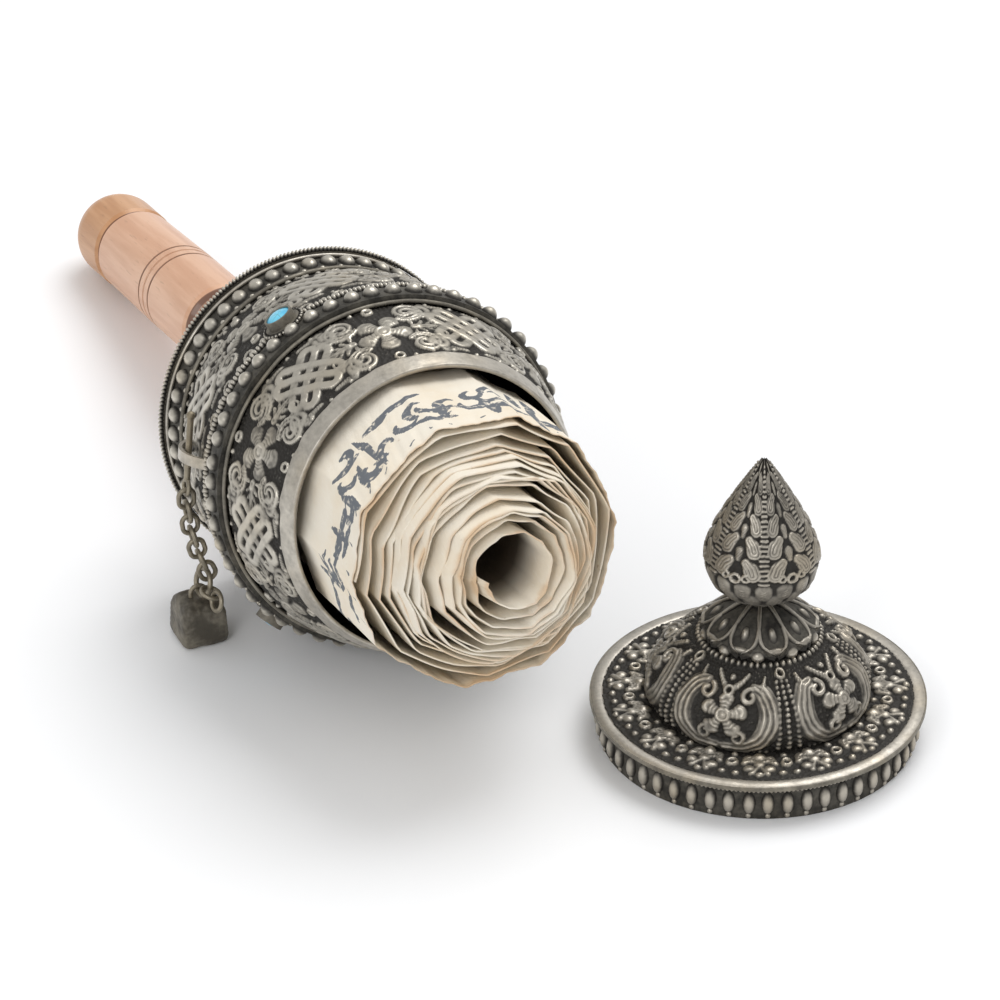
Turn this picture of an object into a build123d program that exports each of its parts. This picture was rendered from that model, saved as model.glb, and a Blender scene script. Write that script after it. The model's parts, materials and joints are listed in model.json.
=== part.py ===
from build123d import *
from math import acos, atan2, cos, degrees, hypot, radians, sin, sqrt
import os

# A hand-held prayer wheel, opened for reading: the wheel lies on its side, resting on its base rim
# and its pommel, with the paper scroll drawn part way out of the mouth. The lid stands beside it, and
# the chain weight stands on the table. Sizes are millimetres. "Axial" places count from the plane of
# the base rim, towards the mouth.

# drum, from the base rim to the lip
rimRadius = 40.6          # outside of the milled rim wire
rimWire = 1.1             # wire diameter
skirtRadius = 38.2
skirtBore = 37.4          # also the wall's radius where it meets the skirt
skirtEnd = 9.8
wallThickness = 0.8
plateOutside, plateInside = -0.6, 0.4     # axial places of the base plate's two faces
waistPlace, waistRadius = 44.4, 42.7
lipPlace, lipRadius = 81.9, 35.2
lipBandStart = 74.5
waistWireRadius = 43.5
beadBandStart, beadBandEnd, beadBandRadius = 46.2, 52.4, 44.0
waistLinePlace = 53.4

bossEnd, bushRadius = -7.0, 6.0

# stones set around the waist, in degrees about the axis from the chain side
stoneAngles = (62, 187, 312)
stonePlace = 44.2
bezelLength, bezelWidth, bezelTop = 7.4, 5.6, 47.2

# handle
spindleRadius = 2.5
spindleTip = 96.0
gripEnd, gripStart = -64.0, -136.1
gripRadius = 11.5
pommelEnd, pommelRadius = -161.0, 11.4
dowelEnd = -150.0
runningGap = 0.06

# scroll, drawn out of the drum
scrollStart, scrollEnd, scrollNose = 40.0, 113.0, 127.0
scrollRadius, coreRadius = 33.2, 8.4

# lid
lidPlace = (118.1, 66.8)
lidRadius, lidSkirtRadius, lidSkirtBore = 40.0, 37.6, 36.0
lidPlateTop, lidPlateThickness = 10.1, 0.9
domeRadius, domeTop = 26.0, 28.4
collarRadius, collarTop = 13.8, 36.4
budRadius, budBottom, budTop, budWall = 13.2, 39.6, 75.6, 0.9
stemRadius = 1.9

# chain and weight
lugAngle, lugPlace, lugSpan, lugRise = 9, 33.0, 18.0, 3.7
wallAtLug = 41.9
lugThickness, lugStrip = 0.9, 2.6
pinRadius, pinUp, pinDown = 0.8, 10.0, 6.2
pinReach = wallAtLug + lugRise - pinRadius - 0.3     # from the wheel's axis to the pin's
eyeRadius, eyeWire = 1.8, 1.1
linkLength, linkWidth, linkWire, linkGap = 6.4, 5.0, 1.2, 0.16
linkCount = 7
ringRadius, ringWire = 3.35, 1.3
spareRadius, spareWire = 2.3, 1.1
ringGap = 0.3
weightSize, weightTopSize, weightShoulder, weightTop = 12.4, 7.0, 8.6, 11.6

os.makedirs("parts", exist_ok=True)


def restTilt():
    """Mouth-up tilt at which the base rim and the pommel both touch the table."""
    reach = -(pommelEnd + pommelRadius)
    return degrees(acos(pommelRadius / hypot(rimRadius, reach)) - atan2(reach, rimRadius))


tilt = restTilt()
axisHeight = rimRadius * cos(radians(tilt))
onTable = Pos(0, 0, axisHeight) * Rot(0, -tilt, 0)
wheelAxis = Vector(cos(radians(tilt)), 0, sin(radians(tilt)))


def around(angle):
    """Turns a piece made over the top of the drum to its angle about the axis."""
    return Rot(90 - angle, 0, 0)


def turned(*outline):
    """Solid of revolution about X from straight runs, each point an axial place and a radius."""
    corners = [(place, 0, radius) for place, radius in outline]
    return revolve(make_face(Polyline(*corners, close=True)), Axis.X)


def sleeve(start, end, outer, inner):
    return turned((start, inner), (end, inner), (end, outer), (start, outer))


def wireHoop(place, outside, wire):
    return Pos(place, 0, 0) * Rot(0, 90, 0) * Torus(outside - wire / 2, wire / 2)


def barrelCurves(offset):
    """The rear and front curves of the drum wall, moved outwards by an offset."""
    rear = ThreePointArc((skirtEnd, 0, skirtBore + offset), (27.5, 0, 41.0 + offset),
                         (waistPlace, 0, waistRadius + offset))
    front = ThreePointArc((waistPlace, 0, waistRadius + offset), (65.0, 0, 39.9 + offset),
                          (lipPlace, 0, lipRadius + offset))
    return rear, front


def drumEnvelope():
    """The whole drum as a filled body, for trimming what is soldered to it."""
    rear, front = barrelCurves(0)
    closing = Polyline((lipPlace, 0, lipRadius), (lipPlace, 0, 0), (skirtEnd, 0, 0), (skirtEnd, 0, skirtBore))
    return revolve(make_face(rear + front + closing), Axis.X)


envelope = drumEnvelope()


def drumWall(half):
    """One raised half of the drum: a curved sheet from the skirt to the waist or on to the lip."""
    outside = barrelCurves(0)[half]
    inside = barrelCurves(-wallThickness)[half]
    ends = Line(outside @ 0, inside @ 0) + Line(outside @ 1, inside @ 1)
    return revolve(make_face(outside + inside + ends), Axis.X)


def basePlate():
    return sleeve(plateOutside, plateInside, rimRadius - rimWire, bushRadius)


def baseSkirt():
    return sleeve(plateInside, skirtEnd, skirtRadius, skirtBore)


def baseRimWire():
    """The milled wire around the edge of the base plate, flattened where it is soldered down."""
    foot = rimRadius - rimWire
    return turned((plateOutside, foot), (plateInside, foot), (plateInside, rimRadius - 0.4), (0, rimRadius),
                  (-0.25, rimRadius - 0.05), (plateOutside, rimRadius - 0.4))


def baseRimBand():
    """A thin smooth ring between the rim wire and the skirt."""
    return sleeve(plateInside, plateInside + 1, rimRadius - 0.6, skirtRadius)


def baseBoss():
    """The stepped cone under the base plate, around the bush."""
    return turned((plateOutside, bushRadius), (plateOutside, 21.0), (plateOutside - 1, 21.0), (-3.0, 14.0),
                  (bossEnd, 10.5), (bossEnd, bushRadius))


def baseBush():
    bore = spindleRadius + runningGap
    flange = sleeve(plateInside, 1.8, 8.0, bore)
    return sleeve(bossEnd, plateInside, bushRadius, bore) + flange


def lipBand():
    """A plain smooth band around the mouth, lapped over the end of the wall."""
    front = barrelCurves(0)[1]
    outer = barrelCurves(0.5)[1]
    closing = Line(front @ 0, outer @ 0) + Line(front @ 1, outer @ 1)
    band = revolve(make_face(front + outer + closing), Axis.X)
    return band & Pos((lipBandStart + lipPlace) / 2, 0, 0) * Box(lipPlace - lipBandStart, 100, 100)


def beadBand():
    band = sleeve(beadBandStart, beadBandEnd, beadBandRadius, waistRadius - 2)
    return band - envelope


def waistWire():
    """The milled wire over the joint of the two walls, flat underneath."""
    start, end = waistPlace - 0.6, waistPlace + 0.6
    return turned((start, waistRadius), (end, waistRadius), (end, waistWireRadius - 0.3),
                  (end - 0.3, waistWireRadius), (start + 0.3, waistWireRadius), (start, waistWireRadius - 0.3))


def waistLine():
    return wireHoop(waistLinePlace, 43.4, 1.3) - envelope


def bezel(angle):
    """An oval cup with a thin foot, trimmed to the waist and open at the top for its stone."""
    foot = Pos(stonePlace, 0, 0) * extrude(Ellipse(bezelWidth / 2 + 0.9, bezelLength / 2 + 0.9), 44.9)
    cup = Pos(stonePlace, 0, 0) * extrude(Ellipse(bezelWidth / 2, bezelLength / 2), bezelTop)
    pocket = Pos(stonePlace, 0, 45.2) * extrude(Ellipse(bezelWidth / 2 - 0.5, bezelLength / 2 - 0.5), 5)
    wireRoom = sleeve(waistPlace - 0.7, waistPlace + 0.7, waistWireRadius + 0.1, waistRadius - 3)
    bandRoom = sleeve(beadBandStart - 0.1, beadBandEnd, beadBandRadius + 0.1, waistRadius - 3)
    body = (foot + cup - pocket) - envelope - wireRoom - bandRoom
    body = body - Pos(stonePlace, 0, 0) * Box(30, 30, 80)
    return around(angle) * body


def stone(angle):
    """An oval cabochon: a straight girdle under a low dome."""
    rx, ry = bezelWidth / 2 - 0.5, bezelLength / 2 - 0.5
    girdle = extrude(Ellipse(rx, ry), 3.0)
    dome = Pos(0, 0, 2.4 - 6.0) * Sphere(6.0)
    return around(angle) * Pos(stonePlace, 0, 45.2) * (girdle & dome)


def chainLug():
    """A strip of sheet bent into a low arch over the wall, its feet soldered down."""
    half = lugSpan / 2
    inside = wallAtLug + lugRise
    buried = 38.5
    outer = ThreePointArc((-half - lugThickness, 0, buried), (0, 0, inside + lugThickness),
                          (half + lugThickness, 0, buried))
    inner = ThreePointArc((-half, 0, buried), (0, 0, inside), (half, 0, buried))
    ends = Line(outer @ 0, inner @ 0) + Line(outer @ 1, inner @ 1)
    strip = extrude(make_face(outer + inner + ends), lugStrip / 2, both=True)
    trimmed = Pos(lugPlace, 0, 0) * strip - envelope - waistWire()
    return around(lugAngle) * trimmed


def chainPin():
    """A rod lying through the lug, with a rounded head above and an eye below."""
    shank = Pos(0, (pinUp - pinDown) / 2, 0) * Rot(90, 0, 0) * Cylinder(pinRadius, pinUp + pinDown)
    head = Pos(0, pinUp, 0) * Sphere(pinRadius * 1.35)
    eye = Pos(0, -pinDown - eyeRadius, 0) * Torus(eyeRadius, eyeWire / 2)
    return around(lugAngle) * Pos(lugPlace, 0, pinReach) * (shank + head + eye)


def onAxis(place, angle, radius, along=0.0):
    """A point on the resting wheel: axial place, angle, radius and a step along the girth."""
    turn = radians(angle)
    across = -cos(turn) * radius + sin(turn) * along
    up = sin(turn) * radius + cos(turn) * along
    height = axisHeight + place * sin(radians(tilt)) + up * cos(radians(tilt))
    return Vector(place * cos(radians(tilt)) - up * sin(radians(tilt)), across, height)


def linkSolid():
    """One oval link of round wire, its length along Y."""
    bend = (linkWidth - linkWire) / 2
    straight = linkLength - linkWidth
    half = Pos(0, straight / 2, 0) * Torus(bend, linkWire / 2, major_angle=180, align=None)
    side = Rot(90, 0, 0) * Cylinder(linkWire / 2, straight)
    return half + Rot(0, 0, 180) * half + Pos(bend, 0, 0) * side + Pos(-bend, 0, 0) * side


def aimed(centre, along, normal):
    """The location of a flat piece: its Y along a direction, its face turned to a normal."""
    along = along.normalized()
    normal = (normal - along * normal.dot(along)).normalized()
    return Plane(origin=centre, x_dir=along.cross(normal), z_dir=normal).location


def linkDirection(index):
    """The chain hangs nearly plumb, and leans in under the drum towards its end."""
    return Vector(-0.05, 0.05 + 0.06 * index, -1.0).normalized()


eyeBottom = onAxis(lugPlace, lugAngle, pinReach, -pinDown - 2 * eyeRadius)
linkPitch = linkLength - 2 * linkWire - linkGap
firstDrop = (linkLength - linkWire) / 2 - (eyeWire + linkWire) / 2 - linkGap


def chainCentres():
    centres = [eyeBottom + linkDirection(0) * firstDrop]
    for index in range(1, linkCount):
        step = (linkDirection(index - 1) + linkDirection(index)) * 0.5
        centres.append(centres[-1] + step * linkPitch)
    return centres


linkCentres = chainCentres()
lastDirection = linkDirection(linkCount - 1)
ringTopPoint = linkCentres[-1] + lastDirection * (linkLength / 2 - linkWire - ringWire / 2 - ringGap)
eyeArchRadius, eyeArchWire = 1.9, 1.1
ringFootHeight = weightTop + 1.4
ringDrop = ringTopPoint.Z - ringFootHeight
ringRun = sqrt((2 * ringRadius) ** 2 - ringDrop ** 2)
ringFoot = ringTopPoint + Vector(-0.78 * ringRun, -0.6258 * ringRun, -ringDrop)
ringCentre = (ringTopPoint + ringFoot) * 0.5
ringAxis = (ringTopPoint - ringFoot).normalized()
ringNormal = (Vector(0, 1, 0) - ringAxis * ringAxis.Y).normalized()
ringTangent = ringNormal.cross(ringAxis)


def chainLink(index):
    facing = Vector(1, 0, 0) if index % 2 == 0 else Vector(0, 1, 0)
    return aimed(linkCentres[index], linkDirection(index), facing) * linkSolid()


def weightRing():
    return aimed(ringCentre, ringAxis, ringNormal) * Torus(ringRadius, ringWire / 2)


def spareRings():
    """Two small loose rings kept on the weight's ring, one through the other."""
    inward = (ringWire + spareWire) / 2 + 0.06
    outward = (ringAxis * 0.26 + ringTangent * 0.966).normalized()
    seat = ringCentre + outward * ringRadius
    firstCentre = seat + outward * (spareRadius - inward)
    first = aimed(firstCentre, outward, outward.cross(ringNormal)) * Torus(spareRadius, spareWire / 2)
    secondCentre = firstCentre + outward * (2 * spareRadius - spareWire - 0.08)
    second = aimed(secondCentre, outward, ringNormal) * Torus(spareRadius, spareWire / 2)
    return [first, second]


def weightBody():
    """A cast block with a slight draft, worn shoulders and a low crown."""
    block = loft([Pos(0, 0, 0.6) * Rectangle(weightSize, weightSize),
                  Pos(0, 0, weightShoulder) * Rectangle(weightSize - 1.8, weightSize - 1.8)])
    foot = loft([Rectangle(weightSize - 1.0, weightSize - 1.0),
                 Pos(0, 0, 0.6) * Rectangle(weightSize, weightSize)])
    crown = loft([Pos(0, 0, weightShoulder) * Rectangle(weightSize - 1.8, weightSize - 1.8),
                  Pos(0, 0, weightTop) * Rectangle(weightTopSize, weightTopSize)])
    return Pos(ringFoot.X, ringFoot.Y, 0) * (foot + block + crown)


def weightEye():
    """A wire arch on top of the weight, with the ring through it."""
    turn = degrees(atan2(ringTangent.Y, ringTangent.X))
    arch = Rot(90, 0, 0) * Torus(eyeArchRadius, eyeArchWire / 2, major_angle=180, align=None)
    legLength = 1.6
    leg = Pos(0, 0, -legLength / 2) * Cylinder(eyeArchWire / 2, legLength)
    arch = arch + Pos(eyeArchRadius, 0, 0) * leg + Pos(-eyeArchRadius, 0, 0) * leg
    crownRise = ringFootHeight + (ringWire + eyeArchWire) / 2 + ringGap - eyeArchRadius
    placed = Pos(ringFoot.X, ringFoot.Y, crownRise) * Rot(0, 0, turn + 90) * arch
    return placed - weightBody()


def handleGrip():
    """A turned grip, a little slimmer towards the pommel, with three cut rings."""
    grip = turned((gripEnd, spindleRadius), (gripEnd, 9.6), (gripEnd - 0.8, 10.8), (gripEnd - 2.4, gripRadius),
                  (-100, gripRadius), (gripStart + 1.5, gripRadius - 0.4), (gripStart, gripRadius - 1.2),
                  (gripStart, spindleRadius))
    for place in (-93.8, -97.3, -100.8):
        grip = grip - wireHoop(place, gripRadius + 0.45, 0.9)
    return grip


def handlePommel():
    """A rounded end cap with a dowel hole for the spindle's tail."""
    centre = pommelEnd + pommelRadius
    diagonal = pommelRadius * sin(radians(45))
    ball = ThreePointArc((pommelEnd, 0, 0), (centre - diagonal, 0, diagonal), (centre, 0, pommelRadius))
    neck = Polyline((centre, 0, pommelRadius), (gripStart - 1.4, 0, pommelRadius - 0.1),
                    (gripStart - 0.1, 0, pommelRadius - 1.1), (gripStart, 0, pommelRadius - 1.3),
                    (gripStart, 0, spindleRadius), (dowelEnd, 0, spindleRadius), (dowelEnd, 0, 0),
                    (pommelEnd, 0, 0))
    return revolve(make_face(ball + neck), Axis.X)


def neckSleeve():
    """A copper tube drawn over the spindle between the grip and the bearing."""
    return turned((gripEnd, spindleRadius), (gripEnd, 9.2), (gripEnd + 2, 9.8), (gripEnd + 4, 9.2),
                  (-36, 8.2), (-18, 7.8), (-18, spindleRadius))


def neckCollar():
    return turned((-18, spindleRadius), (-18, 9.0), (-16.5, 10.2), (-14.5, 10.2), (-13, 9.0), (-13, spindleRadius))


def boneBearing():
    bore = spindleRadius + runningGap
    return turned((-13, bore), (-13, 8.6), (-11, 9.6), (-9.6, 9.2), (-8.6, 8.2), (-8.6, bore))


def thrustWasher():
    return sleeve(-8.5, -7.3, 8.4, spindleRadius + runningGap)


def spindle():
    """The iron rod that the drum turns on, blunt at the tip and let into the pommel."""
    tail = dowelEnd + 0.5
    return turned((tail, 0), (spindleTip, 0), (spindleTip, 1.2), (spindleTip - 1.5, spindleRadius),
                  (tail, spindleRadius))


def spindleCollar():
    """A ring peened on the rod inside the drum, so that the drum can't slide off."""
    return sleeve(2.1, 4.6, 6.4, spindleRadius)


def paperScroll():
    """The rolled strip: its inner turns stand further out than its outer ones, around an open core."""
    return turned((scrollStart, coreRadius), (scrollStart, scrollRadius), (scrollEnd, scrollRadius),
                  (scrollEnd + 6.0, 24.0), (scrollNose, 11.0), (scrollNose, coreRadius))


def lidTurned(*outline):
    """Solid of revolution about Z from straight runs, each point a radius and a height."""
    corners = [(radius, 0, height) for radius, height in outline]
    return revolve(make_face(Polyline(*corners, close=True)), Axis.Z)


def lidSkirt():
    low = lidPlateTop - lidPlateThickness
    return lidTurned((lidSkirtBore, 0), (lidSkirtRadius, 0), (lidSkirtRadius, low), (lidSkirtBore, low))


def lidPlate():
    low = lidPlateTop - lidPlateThickness
    return lidTurned((domeRadius - 2.0, low), (lidRadius, low), (lidRadius, lidPlateTop),
                     (domeRadius - 2.0, lidPlateTop))


def lidRimWire():
    return Pos(0, 0, lidPlateTop - lidPlateThickness - 0.55) * Torus(lidSkirtRadius + 1.1, 0.55)


def lidDome():
    """The raised middle of the lid: upright at its foot, then rounding over to a flat top."""
    foot = lidPlateTop
    outside = Spline((domeRadius - 1.0, 0, foot), (domeRadius, 0, 14.5), (22.0, 0, 22.0), (12.0, 0, domeTop),
                     tangents=((0.2, 0, 1), (-1, 0, 0.28)))
    inside = Spline((11.8, 0, domeTop - 0.9), (21.2, 0, 21.6), (domeRadius - 0.9, 0, 14.6),
                    (domeRadius - 2.0, 0, foot), tangents=((1, 0, -0.28), (-0.2, 0, -1)))
    top = Polyline((12.0, 0, domeTop), (stemRadius + 0.05, 0, domeTop), (stemRadius + 0.05, 0, domeTop - 0.9),
                   (11.8, 0, domeTop - 0.9))
    base = Line((domeRadius - 2.0, 0, foot), (domeRadius - 1.0, 0, foot))
    return revolve(make_face(outside + top + inside + base), Axis.Z)


def spindleSocket():
    """A short tube under the dome that takes the spindle's tip when the lid is on."""
    high = domeTop - 0.9
    return lidTurned((spindleRadius + 0.1, high - 9.0), (4.4, high - 9.0), (4.4, high - 1.5), (6.5, high),
                     (stemRadius, high), (stemRadius, high - 1.2), (spindleRadius + 0.1, high - 1.2))


def lotusCollar():
    return lidTurned((stemRadius, domeTop), (11.0, domeTop), (13.2, domeTop + 0.2), (collarRadius, domeTop + 1.0),
                     (13.2, domeTop + 2.4), (9.0, domeTop + 5.6), (5.4, collarTop - 0.5), (3.3, collarTop),
                     (stemRadius, collarTop))


def finialNeck():
    return lidTurned((stemRadius, collarTop), (3.3, collarTop), (3.6, collarTop + 1.2), (6.2, budBottom),
                     (stemRadius, budBottom))


def budCurves(offset):
    """Half the bud's outline, moved inwards by an offset: a round belly, then a long curve to the tip."""
    widest, tip = (budRadius - offset, 0, 49.5), (0, 0, budTop - 2.4 * offset)
    belly = Spline((6.2 - 0.6 * offset, 0, budBottom + offset), (11.6 - 0.9 * offset, 0, 44.0 + 0.4 * offset),
                   widest, tangents=((1, 0, 0.45), (-0.2, 0, 1)))
    shoulder = (widest[0] / 2 + 1.7, 0, (widest[2] + tip[2]) / 2 + 0.85)
    return belly + Spline(widest, shoulder, tip, tangents=((-0.2, 0, 1), (-0.85, 0, 1)))


def finialBud():
    """A hollow bud, round below and drawn to a point, with a hole for the stem in its foot."""
    outside, inside = budCurves(0), budCurves(budWall)
    inner = budBottom + budWall
    axisLine = Line((0, 0, budTop), (0, 0, budTop - 2.4 * budWall))
    foot = Polyline((6.2, 0, budBottom), (stemRadius, 0, budBottom), (stemRadius, 0, inner),
                    (6.2 - 0.6 * budWall, 0, inner))
    return revolve(make_face(outside + axisLine + inside + foot), Axis.Z)


def finialStem():
    """The rod that holds the finial, riveted over inside the bud and under the dome."""
    low = domeTop - 0.9 - 1.2
    shank = lidTurned((0, low), (stemRadius, low), (stemRadius, budBottom + 0.9), (0, budBottom + 0.9))
    head = lidTurned((0, budBottom + 0.9), (3.4, budBottom + 0.9), (2.6, budBottom + 2.3), (0, budBottom + 2.8))
    return shank + head


wheelPieces = {
    "base_plate": basePlate(),
    "base_skirt": baseSkirt(),
    "base_boss": baseBoss(),
    "base_bush": baseBush(),
    "base_rim_wire": baseRimWire(),
    "base_rim_band": baseRimBand(),
    "drum_wall_rear": drumWall(0),
    "drum_wall_front": drumWall(1),
    "waist_wire": waistWire(),
    "waist_bead_band": beadBand(),
    "waist_line_wire": waistLine(),
    "lip_band": lipBand(),
    "stone_bezels": [bezel(angle) for angle in stoneAngles],
    "turquoise_stones": [stone(angle) for angle in stoneAngles],
    "chain_lug": chainLug(),
    "chain_pin": chainPin(),
    "handle_grip": handleGrip(),
    "handle_pommel": handlePommel(),
    "neck_sleeve": neckSleeve(),
    "neck_collar": neckCollar(),
    "bone_bearing": boneBearing(),
    "thrust_washer": thrustWasher(),
    "spindle": spindle(),
    "spindle_collar": spindleCollar(),
    "paper_scroll": paperScroll(),
}

tablePieces = {"weight_ring": weightRing(), "spare_rings": spareRings(), "chain_weight": weightBody(),
               "weight_eye": weightEye()}
for index in range(linkCount):
    tablePieces[f"chain_link_{index + 1}"] = chainLink(index)

lidPieces = {
    "lid_plate": lidPlate(),
    "lid_skirt": lidSkirt(),
    "lid_rim_wire": lidRimWire(),
    "lid_dome": lidDome(),
    "spindle_socket": spindleSocket(),
    "lotus_collar": lotusCollar(),
    "finial_neck": finialNeck(),
    "finial_bud": finialBud(),
    "finial_stem": finialStem(),
}

placedPieces = {}
for name, piece in wheelPieces.items():
    placedPieces[name] = [onTable * solid for solid in (piece if isinstance(piece, list) else [piece])]
for name, piece in tablePieces.items():
    placedPieces[name] = piece if isinstance(piece, list) else [piece]
for name, piece in lidPieces.items():
    placedPieces[name] = [Pos(*lidPlace, 0) * piece]

# The origin is under the middle of everything, on the table.
boxes = [solid.bounding_box() for group in placedPieces.values() for solid in group]
lowest = [min(tuple(box.min)[axis] for box in boxes) for axis in range(3)]
highest = [max(tuple(box.max)[axis] for box in boxes) for axis in range(3)]
centring = Pos(-(lowest[0] + highest[0]) / 2, -(lowest[1] + highest[1]) / 2, -lowest[2])
print("tilt", round(tilt, 3), "axis height", round(axisHeight, 3))
print("centring", [round(value, 3) for value in centring.position])
print("size", [round(high - low, 2) for low, high in zip(lowest, highest)])

for name, group in placedPieces.items():
    solids = [centring * solid for solid in group]
    shape = solids[0] if len(solids) == 1 else Compound(children=solids)
    export_step(shape, f"parts/{name}.step")

print("pieces", len(placedPieces))
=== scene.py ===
import json
import math

import bmesh
import bpy
import numpy as np
from mathutils import Matrix, Vector


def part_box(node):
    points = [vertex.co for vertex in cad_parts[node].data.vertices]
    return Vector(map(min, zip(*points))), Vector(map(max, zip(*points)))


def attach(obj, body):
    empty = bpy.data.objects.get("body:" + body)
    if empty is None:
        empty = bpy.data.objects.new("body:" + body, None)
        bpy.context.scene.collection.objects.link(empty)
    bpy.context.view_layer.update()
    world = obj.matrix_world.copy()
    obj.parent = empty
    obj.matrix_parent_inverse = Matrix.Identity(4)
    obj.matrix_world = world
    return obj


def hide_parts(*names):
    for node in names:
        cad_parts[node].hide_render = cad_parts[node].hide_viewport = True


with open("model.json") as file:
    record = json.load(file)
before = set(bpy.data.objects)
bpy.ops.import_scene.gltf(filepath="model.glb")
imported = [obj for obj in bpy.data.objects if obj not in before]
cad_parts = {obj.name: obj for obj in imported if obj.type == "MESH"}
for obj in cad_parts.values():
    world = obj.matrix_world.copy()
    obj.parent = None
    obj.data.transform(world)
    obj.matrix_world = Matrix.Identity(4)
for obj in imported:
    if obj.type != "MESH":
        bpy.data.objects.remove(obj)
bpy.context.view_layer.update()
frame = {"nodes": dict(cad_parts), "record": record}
print("frame loaded")

mm = 0.001
joints = {joint["name"]: joint for joint in frame["record"]["behaviour"]["joints"]}
rimCentre = np.array(joints["handle_spin"]["pos_m"])       # on the wheel's axis, in the plane of the base rim
wheelAxis = np.array(joints["handle_spin"]["axis"])
wheelAxis = wheelAxis / np.linalg.norm(wheelAxis)
wheelUp = np.array([-wheelAxis[2], 0, wheelAxis[0]])
lidLow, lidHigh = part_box("lid_plate")
lidCentre = np.array([(lidLow[0] + lidHigh[0]) / 2, (lidLow[1] + lidHigh[1]) / 2, 0])
dice = np.random.default_rng(11)


# mm along the axis and from it, radians round it from the chain side, to metres.
def wheelPoint(axial, radius, angle):
    axial, radius, angle = np.broadcast_arrays(axial, radius, angle)
    across = -np.cos(angle) * radius
    up = np.sin(angle) * radius
    return rimCentre + mm * (axial[..., None] * wheelAxis + across[..., None] * np.array([0, 1, 0])
                             + up[..., None] * wheelUp)


def lidPoint(height, radius, angle):
    height, radius, angle = np.broadcast_arrays(height, radius, angle)
    return lidCentre + mm * np.stack([np.cos(angle) * radius, np.sin(angle) * radius, height], axis=-1)


# Centre and radius of the circle through three points.
def arcThrough(points):
    (x1, y1), (x2, y2), (x3, y3) = points
    lines = np.array([[x2 - x1, y2 - y1], [x3 - x2, y3 - y2]])
    right = np.array([(x2**2 - x1**2 + y2**2 - y1**2) / 2, (x3**2 - x2**2 + y3**2 - y2**2) / 2])
    centre = np.linalg.solve(lines, right)
    return centre, math.hypot(x1 - centre[0], y1 - centre[1])


barrel = {  # the drum wall's places and radii: each half is an arc through three points
    "rear": [(9.8, 37.4), (27.5, 41.0), (44.4, 42.7)],
    "front": [(44.4, 42.7), (65.0, 39.9), (81.9, 35.2)],
}


def barrelRadius(axial, half):
    centre, radius = arcThrough(barrel[half])
    return centre[1] + np.sqrt(radius**2 - (np.asarray(axial) - centre[0]) ** 2)


# A mesh object at the origin that rides on a body. values are numbers for each vertex.
def addPiece(name, points, faces, material, body, values=None):
    mesh = bpy.data.meshes.new(name)
    mesh.from_pydata(np.asarray(points).tolist(), [], np.asarray(faces).tolist())
    for label, numbers in (values or {}).items():
        store = mesh.attributes.new(label, "FLOAT", "POINT")
        store.data.foreach_set("value", np.ascontiguousarray(numbers, dtype=np.float32))
    mesh.shade_smooth()
    mesh.materials.append(material)
    piece = bpy.data.objects.new(name, mesh)
    bpy.context.scene.collection.objects.link(piece)
    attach(piece, body)
    return piece


# Quads between neighbouring rows of points, closed round the columns when wrap is set.
def gridFaces(rows, columns, start=0, wrap=True):
    last = columns if wrap else columns - 1
    row, column = np.meshgrid(np.arange(rows - 1), np.arange(last), indexing="ij")
    after = (column + 1) % columns
    low, high = row * columns, (row + 1) * columns
    return start + np.stack([low + column, low + after, high + after, high + column], axis=-1).reshape(-1, 4)


# The quads of a grid whose last row also joins its first.
def loopedFaces(rows, columns, wrap=True):
    seam = gridFaces(2, columns, 0, wrap)
    seam = np.where(seam >= columns, seam - columns, seam + (rows - 1) * columns)
    return np.concatenate([gridFaces(rows, columns, 0, wrap), seam])


# A sum of sines, each given as its size, its number of waves and its phase.
def waves(angle, *parts):
    return sum(size * np.sin(count * angle + phase) for size, count, phase in parts)


# Reverses the faces of a closed shell when its volume comes out negative.
def turnedOutwards(points, faces):
    first, second, third, fourth = (points[faces[:, k]] for k in range(4))
    middle = points.mean(axis=0)
    volume = np.einsum("ij,ij->", first - middle, np.cross(second - middle, third - middle))
    volume += np.einsum("ij,ij->", first - middle, np.cross(third - middle, fourth - middle))
    return faces if volume > 0 else faces[:, ::-1]


# Points and faces of a wall closed round its girth, from an outer and an inner grid of points.
def closedShell(outer, inner):
    rows, columns = outer.shape[:2]
    points = np.concatenate([outer, inner[::-1]]).reshape(-1, 3)
    return points, turnedOutwards(points, loopedFaces(rows + inner.shape[0], columns))


# Outward normals of an outline given as places and radii, in order along it.
def profileNormals(profile):
    run = np.gradient(profile, axis=0)
    run = run / np.linalg.norm(run, axis=1, keepdims=True)
    return np.stack([-run[:, 1], run[:, 0]], axis=1)


# The outline resampled to evenly spaced points.
def evenly(outline, count):
    outline = np.asarray(outline, float)
    travel = np.concatenate([[0], np.cumsum(np.linalg.norm(np.diff(outline, axis=0), axis=1))])
    spots = np.linspace(0, travel[-1], count)
    return np.stack([np.interp(spots, travel, outline[:, k]) for k in range(2)], axis=1)


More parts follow.
